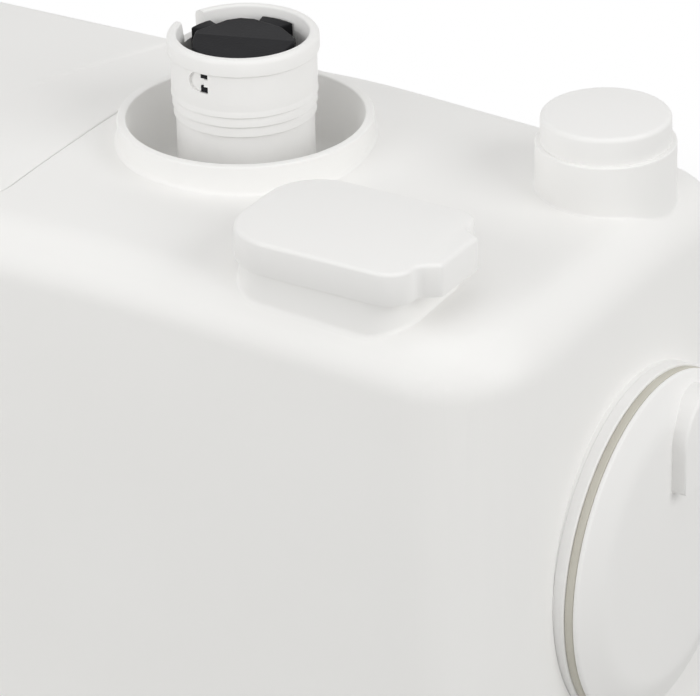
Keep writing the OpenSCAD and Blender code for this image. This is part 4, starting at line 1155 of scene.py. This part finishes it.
@dataclass
class SidePort:
    """The blanked side port: its ring, its seal, and a round cover with a grip lug."""

    centre: Vector = place_at(0.0, 6.0, 178.8)
    pad: float = 244.5
    ring_r: float = 51.9
    ring_t: float = 3.3
    bore: float = 42.5
    collar_r: float = 46.0
    collar_len: float = 16.0
    cover_x: float = 250.4
    cover_r: float = 51.2
    cover_t: float = 5.0
    cover_flat: float = 41.0
    cover_rim: float = 1.2
    seal_r: tuple[float, float] = (42.8, 51.3)
    spigot_r: float = 42.2
    spigot_wall: float = 4.0
    spigot_len: float = 14.0
    lug_w: float = 27.0
    lug_h: float = 27.0
    lug_t: float = 4.4
    lug_root: float = -4.0
    lug_r: float = 13.0
    lug_dist: float = 32.0
    lug_aside: float = 11.5
    lug_edge: float = 1.2

    def ring(self) -> Piece:
        """Models the port's ring and its collar.

        Returns:
            The object.
        """
        out, low = self.pad + self.ring_t, self.pad - self.collar_len
        profile = rounded([(self.bore, low, 0.5), (self.collar_r, low, 0.5), (self.collar_r, self.pad, 0.0),
                           (self.ring_r, self.pad, 0.0), (self.ring_r, out, 0.4), (self.bore, out, 0.5)], 5)
        return spun("port_collar", profile, Axis.X, self.centre)

    def seal(self) -> Piece:
        """Models the seal that fills the groove between ring and cover; its pale, greyed ivory colour is painted shade
        of the groove.

        Returns:
            The object.
        """
        inner, outer = self.seal_r
        low, high = self.pad + self.ring_t, self.cover_x
        profile = rounded([(inner, low, 0.4), (outer, low, 0.6), (outer, high, 0.6), (inner, high, 0.4)], 4)
        return spun("port_seal", profile, Axis.X, self.centre)

    def cover(self) -> Piece:
        """Models the round cover with its spigot and lug.

        Returns:
            The object.
        """
        face = self.cover_x + self.cover_t
        inner = self.spigot_r - self.spigot_wall
        low = self.cover_x - self.spigot_len
        profile = rounded([(0.0, face, 0.0), (self.cover_flat, face, 16.0),
                           (self.cover_r, self.cover_x + self.cover_rim, 1.2), (self.cover_r, self.cover_x, 0.4),
                           (self.spigot_r, self.cover_x, 0.3), (self.spigot_r, low, 0.8), (inner, low, 0.5),
                           (inner, self.cover_x, 0.8), (0.0, self.cover_x, 0.0)], 7)
        obj = spun("port_blank", profile, Axis.X, self.centre)
        w, h = self.lug_w / 2, self.lug_h / 2
        outline = rounded([(-w, -h, 1.0), (w, -h, 1.0), (w, h, self.lug_r), (-w, h, self.lug_r)], 12)
        lug = prism("port_lug", outline, self.lug_root, self.lug_t)
        bevel_edges(lug, self.lug_edge, 4, lambda a, b: min(a.z, b.z) > self.lug_t - TOUCH and max(a.y, b.y) > 1.0 - h)
        upright = Matrix(((0, 0, 1, 0), (1, 0, 0, 0), (0, 1, 0, 0), (0, 0, 0, 1)))
        lug.data.transform(Matrix.Translation(self.centre + Vector((face, self.lug_aside, self.lug_dist))) @ upright)
        combine(obj, lug, Cut.UNION)
        return obj

    def build(self) -> None:
        """Models and dresses the ring, the seal and the cover."""
        dress(self.ring(), FITTING_WHITE, "casing", "port_ring")
        # The seal's greyed ivory colour is painted shade of the groove between ring and cover.
        dress(self.seal(), SEAL_SHADED_IVORY, "casing", "port_gasket")
        dress(self.cover(), FITTING_WHITE, "port_cover", "port_cover")


CARRIED: tuple[tuple[Finish, tuple[str, ...]], ...] = (
    (CASING_WHITE, ("tank",)),
    (FITTING_WHITE, ("terminal_block", "shaft_bush", "switch_plunger", "side_inlets")),
    (RUBBER_BLACK, ("casing_seal", "rubber_feet", "lid_gasket", "outlet_seal", "discharge_hose", "plug_o_ring",
                    "shaft_seal", "switch_diaphragm", "left_flap", "right_flap")),
    (STEEL, ("casing_screws", "bracket_screws", "hose_clips", "rotor_core", "drive_shaft", "motor_bearings", "cutter",
             "cutter_nut", "pump_screws", "flap_pins")),
    (ZINC, ("floor_brackets", "motor_can", "capacitor")),
    (GREY_PLASTIC, ("control_tray", "cable_gland", "gland_nut", "motor_shield", "motor_cradle", "pump_volute",
                    "suction_cover", "macerator_basket", "level_bell", "switch_housing", "switch_cap")),
    (CHARCOAL, ("carbon_filter", "impeller", "microswitch")),
    (COPPER, ("stator",)),
    (BOARD_GREEN, ("control_board",)),
)


def dress_solids() -> None:
    """Gives each solid that is shown as it is its finish."""
    for finish, names in CARRIED:
        for name in names:
            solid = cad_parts[name]
            solid.data.materials.clear()
            solid.data.materials.append(finish.material())
            LOG.info("%s: solid in %s", name, finish.name)


@dataclass
class Studio:
    """The pale floor, the soft light and the camera of the photograph."""

    image_width: int = 700
    eye: Vector = place_at(0.7784, -1.0224, 0.8286)
    azimuth: float = 31.44
    elevation: float = 26.92
    roll: float = -1.32
    focal_px: float = 4676.0
    sensor: float = 36.0
    far: float = 50.0
    floor_size: float = 6.0
    floor_rough: float = 0.9
    floor_colour: Colour = (0.46, 0.46, 0.45)
    floor_shown: Colour = (0.86, 0.86, 0.85)
    fade_from: float = 0.30
    fade_to: float = 0.62
    sky: float = 0.54
    sky_colour: Colour = (1.0, 0.995, 0.985)
    aim: Vector = place_at(0.0, 0.0, 0.15)
    lamps: tuple[tuple[str, tuple[float, float, float], float, float], ...] = (
        ("key", (0.1, -0.3, 1.8), 3.2, 1.4), ("left", (-0.35, -1.15, 0.75), 5.6, 0.9),
        ("right", (1.35, 0.0, 0.85), 6.2, 0.9))

    def camera(self) -> None:
        """Places the camera where the photograph was taken."""
        a, e, r = (math.radians(v) for v in (self.azimuth, self.elevation, self.roll))
        back = Vector((math.sin(a) * math.cos(e), -math.cos(a) * math.cos(e), math.sin(e)))
        right = Vector((math.cos(a), math.sin(a), 0.0))
        up = back.cross(right)
        side = right * math.cos(r) + up * math.sin(r)
        above = up * math.cos(r) - right * math.sin(r)
        data = bpy.data.cameras.new("camera")
        data.sensor_fit = "HORIZONTAL"
        data.sensor_width = self.sensor
        data.lens = self.focal_px * self.sensor / self.image_width
        data.clip_end = self.far
        camera = bpy.data.objects.new("camera", data)
        bpy.context.scene.collection.objects.link(camera)
        camera.matrix_world = Matrix((*zip(side, above, back, self.eye), (0.0, 0.0, 0.0, 1.0)))
        bpy.context.scene.camera = camera

    def white_to_camera(self, tree: Nodes, lit: Socket, plain: str, end: Socket, share: Socket | None = None) -> None:
        """Shows plain white to the camera, to mirrors and through glass, and the lit surface to all other light.

        Args:
            tree: The nodes of the floor or the world.
            lit: The shader that other light sees.
            plain: The kind of node that shows white.
            end: The output's surface.
            share: How far the white takes over, or None for all over.
        """
        path = add_node(tree, "LightPath")
        seen = path.outputs["Is Camera Ray"]
        for ray in ("Is Glossy Ray", "Is Transmission Ray"):
            seen = self.math(tree, "MAXIMUM", seen, path.outputs[ray])
        if share:
            seen = self.math(tree, "MULTIPLY", seen, share)
        white = add_node(tree, plain, Color=(1.0, 1.0, 1.0, 1.0), Strength=1.0)
        mix = add_node(tree, "MixShader")
        link(tree, (seen, mix.inputs[0]), (lit, mix.inputs[1]), (white.outputs[0], mix.inputs[2]),
             (mix.outputs[0], end))

    @staticmethod
    def math(tree: Nodes, how: str, a: Socket, b: Socket) -> Socket:
        """Combines two values.

        Args:
            tree: The nodes.
            how: The operation.
            a: The first value.
            b: The second value.

        Returns:
            The result.
        """
        node = add_node(tree, "Math")
        node.operation = how
        link(tree, (a, node.inputs[0]), (b, node.inputs[1]))
        return node.outputs[0]

    def floor(self) -> None:
        """Lays the pale floor."""
        deselect()
        bpy.ops.mesh.primitive_plane_add(size=self.floor_size, location=(0.0, 0.0, 0.0))
        floor = bpy.context.object
        floor.name = "floor"
        material = bpy.data.materials.new("floor")
        material.use_nodes = True
        tree = material.node_tree
        shader = tree.nodes["Principled BSDF"]
        shader.inputs["Roughness"].default_value = self.floor_rough
        shade = add_node(tree, "Mix")
        shade.data_type = "RGBA"
        shade.inputs["A"].default_value = (*self.floor_colour, 1.0)
        shade.inputs["B"].default_value = (*self.floor_shown, 1.0)
        away = add_node(tree, "VectorMath")
        away.operation = "LENGTH"
        fade = add_node(tree, "MapRange", From_Min=self.fade_from, From_Max=self.fade_to)
        fade.interpolation_type = "SMOOTHSTEP"
        link(tree, (add_node(tree, "LightPath").outputs["Is Camera Ray"], shade.inputs["Factor"]),
             (shade.outputs["Result"], shader.inputs["Base Color"]),
             (add_node(tree, "TexCoord").outputs["Object"], away.inputs[0]),
             (away.outputs["Value"], fade.inputs["Value"]))
        self.white_to_camera(tree, shader.outputs[0], "Emission",
                             tree.nodes["Material Output"].inputs["Surface"], fade.outputs["Result"])
        floor.data.materials.append(material)

    def light(self) -> None:
        """Sets the world and the soft lamps."""
        world = bpy.data.worlds.new("studio")
        bpy.context.scene.world = world
        world.use_nodes = True
        tree = world.node_tree
        sky = tree.nodes["Background"]
        sky.inputs["Color"].default_value = (*self.sky_colour, 1.0)
        sky.inputs["Strength"].default_value = self.sky
        self.white_to_camera(tree, sky.outputs[0], "Background", tree.nodes["World Output"].inputs["Surface"])
        for name, spot, power, size in self.lamps:
            lamp = bpy.data.lights.new(name, "AREA")
            lamp.energy = power
            lamp.size = size
            obj = bpy.data.objects.new(name, lamp)
            bpy.context.scene.collection.objects.link(obj)
            obj.location = spot
            obj.rotation_euler = (self.aim - Vector(spot)).to_track_quat("-Z", "Y").to_euler()

    def build(self) -> None:
        """Sets up the floor, the light and the camera."""
        self.floor()
        self.light()
        self.camera()
        bpy.context.scene.view_settings.view_transform = "Standard"


def main() -> None:
    """Builds the pump's looks in order."""
    logging.basicConfig(level=logging.INFO, format="%(message)s")
    hood = Hood()
    hood.build()
    for piece in (Lid(), Outlet(), VentCover(hood), InletPlug(), SidePort()):
        piece.build()
    dress_solids()
    Studio().build()


if __name__ == "__main__":
    main()
